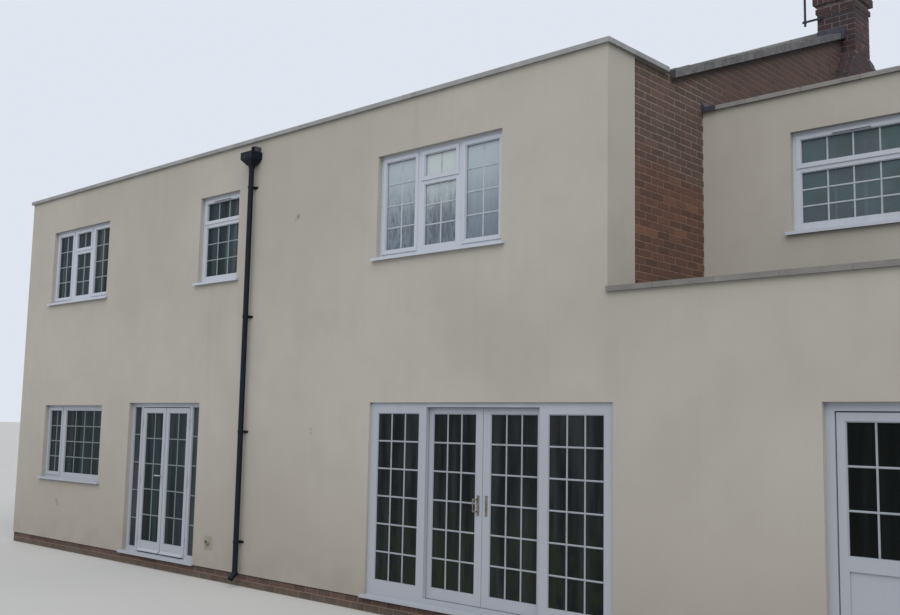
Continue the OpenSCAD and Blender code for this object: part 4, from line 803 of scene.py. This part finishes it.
UPPER_Z, UPPER_H, LOWER_Z, LOWER_H = 3.85, 1.2, 1.066, 1.159
NARROW_X, NARROW_W, WIDE_X, WIDE_W, WING_X, WING_W = 5.05, 0.89, 8.59, 1.83, 12.65, 1.19
UPPER = [(0.83, UPPER_Z, 1.77, UPPER_H, "three"),
         (NARROW_X, UPPER_Z, NARROW_W, UPPER_H, "vent"),
         (WIDE_X, UPPER_Z, WIDE_W, UPPER_H, "three")]
LOWER = (0.87, LOWER_Z, 1.8, LOWER_H, "pair")
WING = (WING_X, 3.963, WING_W, 1.037, "vent")
FRONT = UPPER + [LOWER, (WIDE_X, LOWER_Z, WIDE_W, LOWER_H, "three")]
WING_FRONT = [WING, (WING_X, LOWER_Z, WING_W, LOWER_H, "vent")]
SIDE_X = RIDGE_Y - NARROW_W / 2
SIDE = [(SIDE_X, UPPER_Z, NARROW_W, UPPER_H, "vent"),
        (SIDE_X, LOWER_Z, NARROW_W, LOWER_H, "vent")]

# The front door, which has the back door's size: (x, z, width, height)
DOOR_W = 0.97
FRONT_DOOR = (NARROW_X + (NARROW_W - DOOR_W) / 2, PLINTH_Z, DOOR_W, DOOR_HEAD_Z - PLINTH_Z)

build = Build()
breast_courses = range(math.floor((WING_ROOF_Z - PLINTH_Z) / COURSE),
                       math.ceil((RIDGE_Z - PLINTH_Z) / COURSE) + 1)
blocked = [(RIDGE_Y - breast_half(z), RIDGE_Y + breast_half(z), z - COURSE, z)
           for z in (PLINTH_Z + i * COURSE for i in breast_courses)]
blocked += [(RETURN_D, SET_BACK, 0.0, LOW_ROOF_Z), (SET_BACK, WING_Y, 0.0, WING_ROOF_Z)]
lay(build, right(BRICK_X), RETURN_D, DEPTH, PLINTH_Z, RIDGE_Z, blocked, top=gable_top)
build.piece("gable_bricks", BRICK, "brick")

build = Build()
holes = wall_holes(SIDE)
lay(build, left(BRICK_IN), RETURN_D, DEPTH, PLINTH_Z, RIDGE_Z, holes, top=gable_top,
    cuts=holes)
soldiers(build, left(BRICK_IN), SIDE)
build.piece("left_gable_bricks", BRICK, "brick")

build = Build()
holes = wall_holes(FRONT + [FRONT_DOOR])
fascia_low = under_z(FRONT_EAVES_Y - FASCIA_IN) - FASCIA_H
lay(build, front(DEPTH), BRICK_IN, BRICK_X, PLINTH_Z, fascia_low - RELIEF, holes, phase=1,
    cuts=holes)
soldiers(build, front(DEPTH), FRONT + [FRONT_DOOR])
build.piece("front_bricks", BRICK, "brick")

# The low wall between the flat roof and the rear eaves
build = Build()
lay(build, rear(EAVES_Y), WALL_T, HOUSE_X - WALL_T, MAIN_FELT_Z,
    under_z(EAVES_Y) - UNDER_GAP)
build.piece("eaves_bricks", BRICK, "brick")

build = Build()
wing_x, wing_y = SITE_X - BRICK_IN, WING_Y - BRICK_IN
for wall, x0, x1 in ((rear(BRICK_IN), BRICK_IN, wing_x), (left(BRICK_IN), BRICK_IN, DEPTH),
                     (front(DEPTH), BRICK_IN, BRICK_X), (right(BRICK_X), wing_y, DEPTH),
                     (front(wing_y), BRICK_X, wing_x), (right(wing_x), BRICK_IN, wing_y)):
    lay(build, wall, x0, x1, 0.0, PLINTH_Z, first=0.0)
build.piece("plinth_bricks", PLINTH_BRICK, "brick")


# Chimney bricks. Each list has the lengths of the bricks on one side of the stack.

ODD_COURSE, EVEN_COURSE = (0.195, 0.1, 0.195), (0.095, 0.195, 0.095, 0.095)


def stack_course(build, out, z0, z1, lengths):
    """One course of bricks round the stack, standing out from it."""
    x0, y0, w = STACK_X - out, STACK_Y - out, STACK_W + 2 * out
    joint = (w - sum(lengths)) / (len(lengths) - 1)
    for wall in (lambda x, y, z: (x0 + x, y0 + y, z), lambda x, y, z: (x0 + w - y, y0 + x, z),
                 lambda x, y, z: (x0 + w - x, y0 + w - y, z),
                 lambda x, y, z: (x0 + y, y0 + w - x, z)):
        start = 0.0
        for length in lengths:
            put_brick(build, wall, start, start + length, z0, z1)
            start += length + joint


def shoulder_z(y):
    """The top of the breast's outer face at a depth."""
    return SHOULDER_Z - max(0.0, abs(y - RIDGE_Y) - STACK_W / 2) * SHOULDER_H / SHOULDER_RUN


def shoulder(side):
    """The breast's sloping top, at the front (1) or the rear (-1). z is along the slope."""
    across, up = SHOULDER_RUN / SHOULDER_LEN, SHOULDER_H / SHOULDER_LEN
    return lambda x, y, z: (x, RIDGE_Y + side * (BREAST_W / 2 - across * z - up * y),
                            SHOULDER_Z - SHOULDER_H + up * z - across * y)


build = Build()
bands = [(STRING_Z, STRING_H, STRING_OUT), (BAND_Z, BAND_H, BAND_OUT),
         (STACK_Z - BAND_H, BAND_H, BAND_OUT)]
for k in range(int((STACK_Z - SHOULDER_Z) / COURSE)):
    z = SHOULDER_Z + k * COURSE + JOINT / 2
    if not any(z + COURSE > b and z < b + h for b, h, _ in bands):
        stack_course(build, 0.0, z, z + COURSE - JOINT, ODD_COURSE if k % 2 else EVEN_COURSE)
for b, h, out in bands:
    w = STACK_W + 2 * out
    count = round(w / COURSE)
    on_end = (w / count - JOINT,) * count
    lengths = on_end if h > COURSE else tuple(length * w / STACK_W for length in ODD_COURSE)
    stack_course(build, out, b + JOINT / 2, b + h - JOINT / 2, lengths)
lay(build, right(BRICK_X + STACK_OUT), RIDGE_Y - BREAST_W / 2, RIDGE_Y + BREAST_W / 2,
    WING_ROOF_Z, SHOULDER_Z, top=shoulder_z)
for side, wall in ((-1, rear(RIDGE_Y - BREAST_W / 2)), (1, front(RIDGE_Y + BREAST_W / 2))):
    lay(build, wall, BRICK_X, BRICK_X + STACK_OUT, WING_ROOF_Z, SHOULDER_Z - SHOULDER_H)
    lay(build, shoulder(side), BRICK_X, BRICK_X + STACK_OUT, 0.0, SHOULDER_LEN, first=0.0)
build.piece("chimney_bricks", CHIMNEY_BRICK, "chimney_brick")

# Roof tiles

TILE_W, TILE_JOINT, MIN_TILE, TILE_END = 0.3, 0.002, 0.03, 0.02
TILE_NOSE, TILE_T, TILE_SINK, TILE_EDGE = 0.004, 0.012, 0.003, 0.003
TILE_UP, TILE_VARY, TILE_TILT = 0.006, 0.0015, 0.002
LEAD_Y, LEAD_X = 0.14, 0.01


def lay_tiles(name, side):
    """The tiles of the rear (-1) or front (1) slope, in half bond, off the stack's lead."""
    build = Build()
    run = (RIDGE_Y - EAVES_Y) / COURSES
    for i in range(COURSES):
        y0 = RIDGE_Y + side * (RIDGE_Y - EAVES_Y - i * run)
        y1 = y0 - side * run
        z0, z1 = tile_z(y0), tile_z(y1) - TILE_STEP
        at_stack = abs((y0 + y1) / 2 - RIDGE_Y) < STACK_W / 2 + LEAD_Y
        last = STACK_X - LEAD_X if at_stack else VERGE_X1
        y0 += side * TILE_NOSE
        x = VERGE_X0 - (TILE_W / 2 if i % 2 else 0.0)
        while x < VERGE_X1 - TILE_END:
            a, b = max(x + TILE_JOINT, VERGE_X0), min(x + TILE_W - TILE_JOINT, last)
            x += TILE_W
            if b - a < MIN_TILE:
                continue
            up = TILE_UP + rng.uniform(-TILE_VARY, TILE_VARY)
            tilt = rng.uniform(-TILE_TILT, TILE_TILT)
            low = [(a, y0, z0 - TILE_T), (b, y0, z0 - TILE_T),
                   (b, y1, z1 - TILE_SINK), (a, y1, z1 - TILE_SINK)]
            a, b = a + TILE_EDGE, b - TILE_EDGE
            high = [(a, y0, z0 + up + tilt), (b, y0, z0 + up - tilt),
                    (b, y1, z1 + up), (a, y1, z1 + up)]
            build.frustum(low, high, rng.random(), True)
    build.piece(name, TILE, "roof_tile")


lay_tiles("rear_tiles", -1)
lay_tiles("front_tiles", 1)

# Half-round ridge covers in lengths, just outside the ridge of the CAD

COVER_L, COVER_JOINT, COVER_R, COVER_VARY, COVER_EDGE = 0.45, 0.004, 0.12 + 0.0035, 0.002, 0.006
COVER_Z, COVER_STEPS, COVER_SAG = RIDGE_Z - 0.06, 18, 28


def cover_ring(x, r):
    """Points along a ridge cover's round, from one side of the ridge to the other."""
    angles = (math.radians(-COVER_SAG + (180 + 2 * COVER_SAG) * s / COVER_STEPS)
              for s in range(COVER_STEPS + 1))
    return [(x, RIDGE_Y + r * math.cos(a), COVER_Z + r * math.sin(a)) for a in angles]


build = Build()
count = round((STACK_X - VERGE_X0) / COVER_L)
length = (STACK_X - VERGE_X0) / count
for i in range(count):
    x0 = VERGE_X0 + i * length + COVER_JOINT
    x1 = VERGE_X0 + (i + 1) * length - COVER_JOINT
    r = COVER_R + rng.uniform(-COVER_VARY, COVER_VARY)
    rows = [cover_ring(x0, r - COVER_EDGE), cover_ring(x0 + COVER_JOINT, r),
            cover_ring(x1 - COVER_JOINT, r), cover_ring(x1, r - COVER_EDGE)]
    n = COVER_STEPS + 1
    ends = [tuple(range(n)), tuple(reversed(range(3 * n, 4 * n)))]
    build.add([p for row in rows for p in row], quads(rows) + ends, 0.55 + 0.3 * rng.random())
build.piece("ridge_covers", TILE, "roof_tile")

# Windows and doors

EDGE, MULLION, TRANSOM, VENT_H, PAIR_X = 0.085, 0.15, 0.1, 0.235, 0.45
SILL_T, FRAME_IN, FRAME_D, GLASS_T = 0.03, 0.06, 0.07, 0.024
GLASS_Y = FRAME_IN + (FRAME_D - GLASS_T) / 2
BAR_W, BAR_OUT, BAR_STEP, SEAL_W, SEAL_OUT = 0.018, 0.007, 0.001, 0.0035, 0.002
BAR_EDGE = BAR_W / 4


def panes_of(win):
    """Each pane of a window as (x0, x1, z0, z1, columns, rows)."""
    x, z, w, opening, kind = win
    top = opening - SILL_T - EDGE
    vent_z = top - VENT_H

    def vent(a, b, cols):
        return [(a, b, vent_z, top, cols, 1), (a, b, EDGE, vent_z - TRANSOM, cols, 3)]

    if kind == "three":
        pane_w = (w - 2 * EDGE - 2 * MULLION) / 3
        a, b, c = (EDGE + i * (pane_w + MULLION) for i in range(3))
        panes = [(a, a + pane_w, EDGE, top, 2, 4), (c, c + pane_w, EDGE, top, 2, 4)]
        panes += vent(b, b + pane_w, 2)
    elif kind == "vent":
        panes = vent(EDGE, w - EDGE, 4 if w > 1 else 3)
    else:
        panes = [(EDGE, PAIR_X, EDGE, top, 2, 4), (PAIR_X + MULLION, w - EDGE, EDGE, top, 4, 4)]
    return [(x + a, x + b, z + SILL_T + c, z + SILL_T + d, i, j) for a, b, c, d, i, j in panes]


def glaze(bars, seals, wall, pane, y):
    """White bars on both faces of a pane and a seal round it. y is the depth of the pane's
    outer face. The level bars are a little thinner than the upright ones they cross."""
    x0, x1, z0, z1, cols, rows = pane
    for out, face_y in ((-1, y), (1, y + GLASS_T)):
        for i in range(1, cols):
            x = x0 + (x1 - x0) * i / cols
            rect = (x - BAR_W / 2, x + BAR_W / 2, z0 - BAR_EDGE, z1 + BAR_EDGE)
            plate(bars, wall, rect, face_y, face_y + out * BAR_OUT, BAR_EDGE)
        for j in range(1, rows):
            z = z0 + (z1 - z0) * j / rows
            rect = (x0 - BAR_EDGE, x1 + BAR_EDGE, z - BAR_W / 2, z + BAR_W / 2)
            plate(bars, wall, rect, face_y, face_y + out * (BAR_OUT - BAR_STEP), BAR_EDGE)
        for strip in edge_strips(x0, x1, z0, z1, SEAL_W):
            plate(seals, wall, strip, face_y, face_y + out * SEAL_OUT)


def glaze_all(name, panes, body="house"):
    """The bars and seals of panes, each as (wall, pane, depth), in a piece each."""
    bars, seals = Build(), Build()
    for wall, pane, y in panes:
        glaze(bars, seals, wall, pane, y)
    bars.piece(name + "_bars", BARS, "white_pvc", body)
    seals.piece(name + "_seals", GASKET, "black_pvc", body)


WALLS = {"rear_window": [(rear(), UPPER + [LOWER]), (rear(SET_BACK), [WING])],
         "front_window": [(front(DEPTH), FRONT), (front(WING_Y), WING_FRONT)],
         "side_window": [(right(SITE_X), SIDE), (left(BRICK_IN), SIDE)]}
for name, walls in WALLS.items():
    glaze_all(name, [(wall, pane, GLASS_Y) for wall, windows in walls for win in windows
                     for pane in panes_of(win)])

# Door glass that moves with its leaf stands GROOVE deep in it
GROOVE = 0.012
for node, body, cols, rows in (("french_glass_left", "french_left", 2, 5),
                               ("french_glass_right", "french_right", 2, 5),
                               ("patio_glass_left", "patio_left", 3, 6),
                               ("patio_glass_right", "patio_right", 3, 6),
                               ("back_door_glass", "back_door", 3, 3)):
    low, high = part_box(node)
    pane = (low.x + OFF_X + GROOVE, high.x + OFF_X - GROOVE, low.z + GROOVE, high.z - GROOVE,
            cols, rows)
    glaze_all(body, [(rear(), pane, low.y + OFF_Y)], body)

# The sidelights of the French doors and the fixed panels of the patio doors
DOOR_Z = PLINTH_Z + 0.035
FRENCH_FACE, SIDELIGHT_W = 0.06, 0.17
PATIO_IN, PATIO_FACE, PANEL_T = 0.03, 0.05, 0.044
PATIO_STILE, LAP_STILE, PATIO_RAIL, STILE_LAP = 0.072, 0.115, 0.12, 0.05
PATIO_MID = PATIO_X + PATIO_W / 2
FIXED_W = (PATIO_W / 2 - PATIO_FACE) / 2 + STILE_LAP / 2
sidelight = (FRENCH_X + FRENCH_FACE, FRENCH_X + FRENCH_FACE + SIDELIGHT_W,
             DOOR_Z + FRENCH_FACE, DOOR_HEAD_Z - FRENCH_FACE, 1, 5)
fixed = (PATIO_X + PATIO_FACE + PATIO_STILE, PATIO_X + PATIO_FACE + FIXED_W - LAP_STILE,
         DOOR_Z + PATIO_FACE + PATIO_RAIL, DOOR_HEAD_Z - PATIO_FACE - PATIO_STILE, 3, 6)
panes = []
for pane, mid, y in ((sidelight, FRENCH_MID, GLASS_Y),
                     (fixed, PATIO_MID, PATIO_IN + (PANEL_T - GLASS_T) / 2)):
    x0, x1, *rest = pane
    panes += [(rear(), pane, y), (rear(), (2 * mid - x1, 2 * mid - x0, *rest), y)]
glaze_all("fixed_door", panes)

# The front door's raised panels, two in each recess, and its letter plate
LEAF_Y, PANEL_Y, LEAF_FACE, LEAF_GAP, DOOR_STILE, MUNTIN = 0.07, 0.085, 0.07, 0.01, 0.075, 0.09
RECESS_LOW, RECESS_TOP, RECESS_HIGH = 0.33, 0.986, 1.1
BEAD_W, BEAD_OUT, BEVEL = 0.014, 0.008, 0.004
FIELD_IN, FIELD_OUT, FIELD_SLOPE = 0.03, 0.009, 0.026
LETTER_W, LETTER_Z, LETTER_H = 0.26, 1.013, 0.06
FLANGE_T, FLAP_IN, FLAP_T, FLAP_EDGE = 0.003, 0.012, 0.004, 0.002
build = Build()
wall = front(DEPTH)
door_x0 = FRONT_DOOR[0] + LEAF_FACE + DOOR_STILE
door_x1 = FRONT_DOOR[0] + DOOR_W - LEAF_FACE - DOOR_STILE
door_mid = (door_x0 + door_x1) / 2
muntin_x0, muntin_x1 = door_mid - MUNTIN / 2, door_mid + MUNTIN / 2
for z0, z1 in ((RECESS_LOW, RECESS_TOP),
               (RECESS_HIGH, DOOR_HEAD_Z - LEAF_FACE - LEAF_GAP - DOOR_STILE)):
    plate(build, wall, (muntin_x0, muntin_x1, z0, z1), PANEL_Y, LEAF_Y, BEVEL)
    for x0, x1 in ((door_x0, muntin_x0), (muntin_x1, door_x1)):
        for strip in edge_strips(x0, x1, z0, z1, BEAD_W, lap=BEAD_W):
            plate(build, wall, strip, PANEL_Y, PANEL_Y - BEAD_OUT, BEVEL)
        plate(build, wall, (x0, x1, z0, z1), PANEL_Y, PANEL_Y - FIELD_OUT, FIELD_SLOPE, FIELD_IN)
build.piece("front_door_panels", WHITE, "white_pvc")

build = Build()
rect = (door_mid - LETTER_W / 2, door_mid + LETTER_W / 2, LETTER_Z, LETTER_Z + LETTER_H)
flange_y = LEAF_Y - FLANGE_T
plate(build, wall, rect, LEAF_Y, flange_y, FLANGE_T)
plate(build, wall, rect, flange_y, flange_y - FLAP_T, FLAP_EDGE, FLAP_IN)
build.piece("letter_plate", BRASS, "brass")

# The dark slot of each air vent on a top-hung vent's rail: partly the real slot and partly a
# painted shadow under the vent's hood
VENT_W, VENT_END, SASH_OUT, BEAD = 0.4, 0.012, 0.01, 0.008
SLOT_LOW, SLOT_HIGH, SLOT_OUT = 0.002, 0.011, 0.0008
build = Build()
for walls in WALLS.values():
    for wall, windows in walls:
        for x, z, w, h, kind in windows:
            if kind == "vent":
                mid, half = x + w / 2, VENT_W / 2 - VENT_END
                slot_z, y = z + h - EDGE + BEAD, FRAME_IN - 2 * SASH_OUT
                plate(build, wall, (mid - half, mid + half, slot_z + SLOT_LOW, slot_z + SLOT_HIGH),
                      y, y - SLOT_OUT)
build.piece("vent_slots", GASKET, "black_pvc")

# An overflow outlet beside the French doors: a short open pipe through a square plate
OUTLET_X, OUTLET_Z, OUTLET_R, OUTLET_L, OUTLET_T = 5.575, 0.468, 0.034, 0.04, 0.003
PLATE_HALF, PLATE_T, PLATE_EDGE, PIPE_BACK, LIP = 0.085, 0.005, 0.003, 0.004, 0.002
build = Build()
ring = [(math.cos(math.tau * i / 24), math.sin(math.tau * i / 24)) for i in range(24)]
rows = [[(OUTLET_X + r * c, -out, OUTLET_Z + r * s) for c, s in ring]
        for r, out in ((OUTLET_R, 0.0), (OUTLET_R, OUTLET_L - LIP),
                       (OUTLET_R - OUTLET_T / 2, OUTLET_L), (OUTLET_R - OUTLET_T, OUTLET_L - LIP),
                       (OUTLET_R - OUTLET_T, PIPE_BACK))]
n = len(ring)
bottom = tuple(range(4 * n, 5 * n))
build.add([p for row in rows for p in row], quads(rows, closed=True) + [bottom])
plate(build, rear(), (OUTLET_X - PLATE_HALF, OUTLET_X + PLATE_HALF, OUTLET_Z - PLATE_HALF,
                      OUTLET_Z + PLATE_HALF), 0.0, -PLATE_T, PLATE_EDGE)
build.piece("overflow_outlet", PLATE, "render")

# The outlet through the parapet, over the hopper head
CHUTE_X, CHUTE_Z, CHUTE_W, CHUTE_H, CHUTE_OUT, CHUTE_T = 6.325, 5.472, 0.075, 0.07, 0.1, 0.004
build = Build()
for strip in edge_strips(CHUTE_X - CHUTE_W / 2, CHUTE_X + CHUTE_W / 2, CHUTE_Z,
                         CHUTE_Z + CHUTE_H, CHUTE_T):
    plate(build, rear(), strip, 0.0, -CHUTE_OUT, closed=True)
build.piece("hopper_chute", LEAD, "lead")

# Stage and light

FLOOR_R, FLOOR_SIDES, FLOOR_Z, FLOOR_COLOUR = 450.0, 96, -0.002, (0.47, 0.47, 0.465)
net = Nodes("stage_floor")
net.start(net.patches(0.3, 0.7, 0.3, 2), FLOOR_COLOUR, shade(FLOOR_COLOUR, 0.97))
mesh = bpy.data.meshes.new("stage_floor")
angles = [math.tau * i / FLOOR_SIDES for i in range(FLOOR_SIDES)]
mesh.from_pydata([(FLOOR_R * math.cos(a), FLOOR_R * math.sin(a), FLOOR_Z) for a in angles], [],
                 [tuple(range(FLOOR_SIDES))])
mesh.materials.append(net.done(0.95))
ground = bpy.data.objects.new("stage_floor", mesh)
scene.collection.objects.link(ground)

# The world lights the house with one colour, and shows another to the camera, in mirrors
# and through glass
world = bpy.data.worlds.new("studio")
scene.world = world
world.use_nodes = True
tree = world.node_tree
tree.nodes.clear()


def world_node(kind, *values):
    node = tree.nodes.new("ShaderNode" + kind)
    for socket, value in zip(node.inputs, values):
        socket.default_value = value
    return node


def either(a, b):
    """1 where one of two sockets is 1."""
    node = world_node("Math")
    node.operation = "MAXIMUM"
    tree.links.new(a, node.inputs[0])
    tree.links.new(b, node.inputs[1])
    return node.outputs[0]


path = world_node("LightPath").outputs
seen_ray = either(path["Is Camera Ray"],
                  either(path["Is Glossy Ray"], path["Is Transmission Ray"]))
blend = world_node("MixShader")
for output, socket in (
        (seen_ray, blend.inputs[0]),
        (world_node("Background", (0.93, 0.96, 1.0, 1.0), 0.75).outputs[0], blend.inputs[1]),
        (world_node("Background", (0.740, 0.785, 0.870, 1.0), 1.0).outputs[0], blend.inputs[2]),
        (blend.outputs[0], world_node("OutputWorld").inputs[0])):
    tree.links.new(output, socket)

lamp = bpy.data.lights.new("soft_sun", "SUN")
lamp.energy = 1.85
lamp.angle = math.radians(60)
lamp.color = (1.0, 0.985, 0.96)
TOWARDS_SUN = Vector((0.6, -0.72, 1.0))
sun = bpy.data.objects.new("soft_sun", lamp)
sun.rotation_euler = TOWARDS_SUN.to_track_quat("Z", "Y").to_euler()
scene.collection.objects.link(sun)
scene.view_settings.view_transform = "Standard"

# The camera that was fitted to the photograph: its place in house coordinates, its angles
# and its focal length in pixels of the photograph's width
EYE = (16.9632, -7.7944, 2.0214)
YAW, PITCH, ROLL = (math.radians(a) for a in (42.8207, 6.5747, -1.1040))
FOCAL_PX, WIDTH_PX, SENSOR_W = 1024.6, 900, 36.0
forward = Vector((-math.sin(YAW) * math.cos(PITCH), math.cos(YAW) * math.cos(PITCH),
                  math.sin(PITCH)))
level = Vector((math.cos(YAW), math.sin(YAW), 0.0))
down = forward.cross(level)
side = math.cos(ROLL) * level + math.sin(ROLL) * down
up = math.sin(ROLL) * level - math.cos(ROLL) * down
camera = bpy.data.cameras.new("camera")
camera.sensor_width = SENSOR_W
camera.lens = FOCAL_PX * SENSOR_W / WIDTH_PX
camera.clip_end = 1000.0
eye = bpy.data.objects.new("camera", camera)
pose = Matrix((side, up, -forward)).transposed().to_4x4()
pose.translation = Vector(part(*EYE))
eye.matrix_world = pose
scene.collection.objects.link(eye)
scene.camera = eye
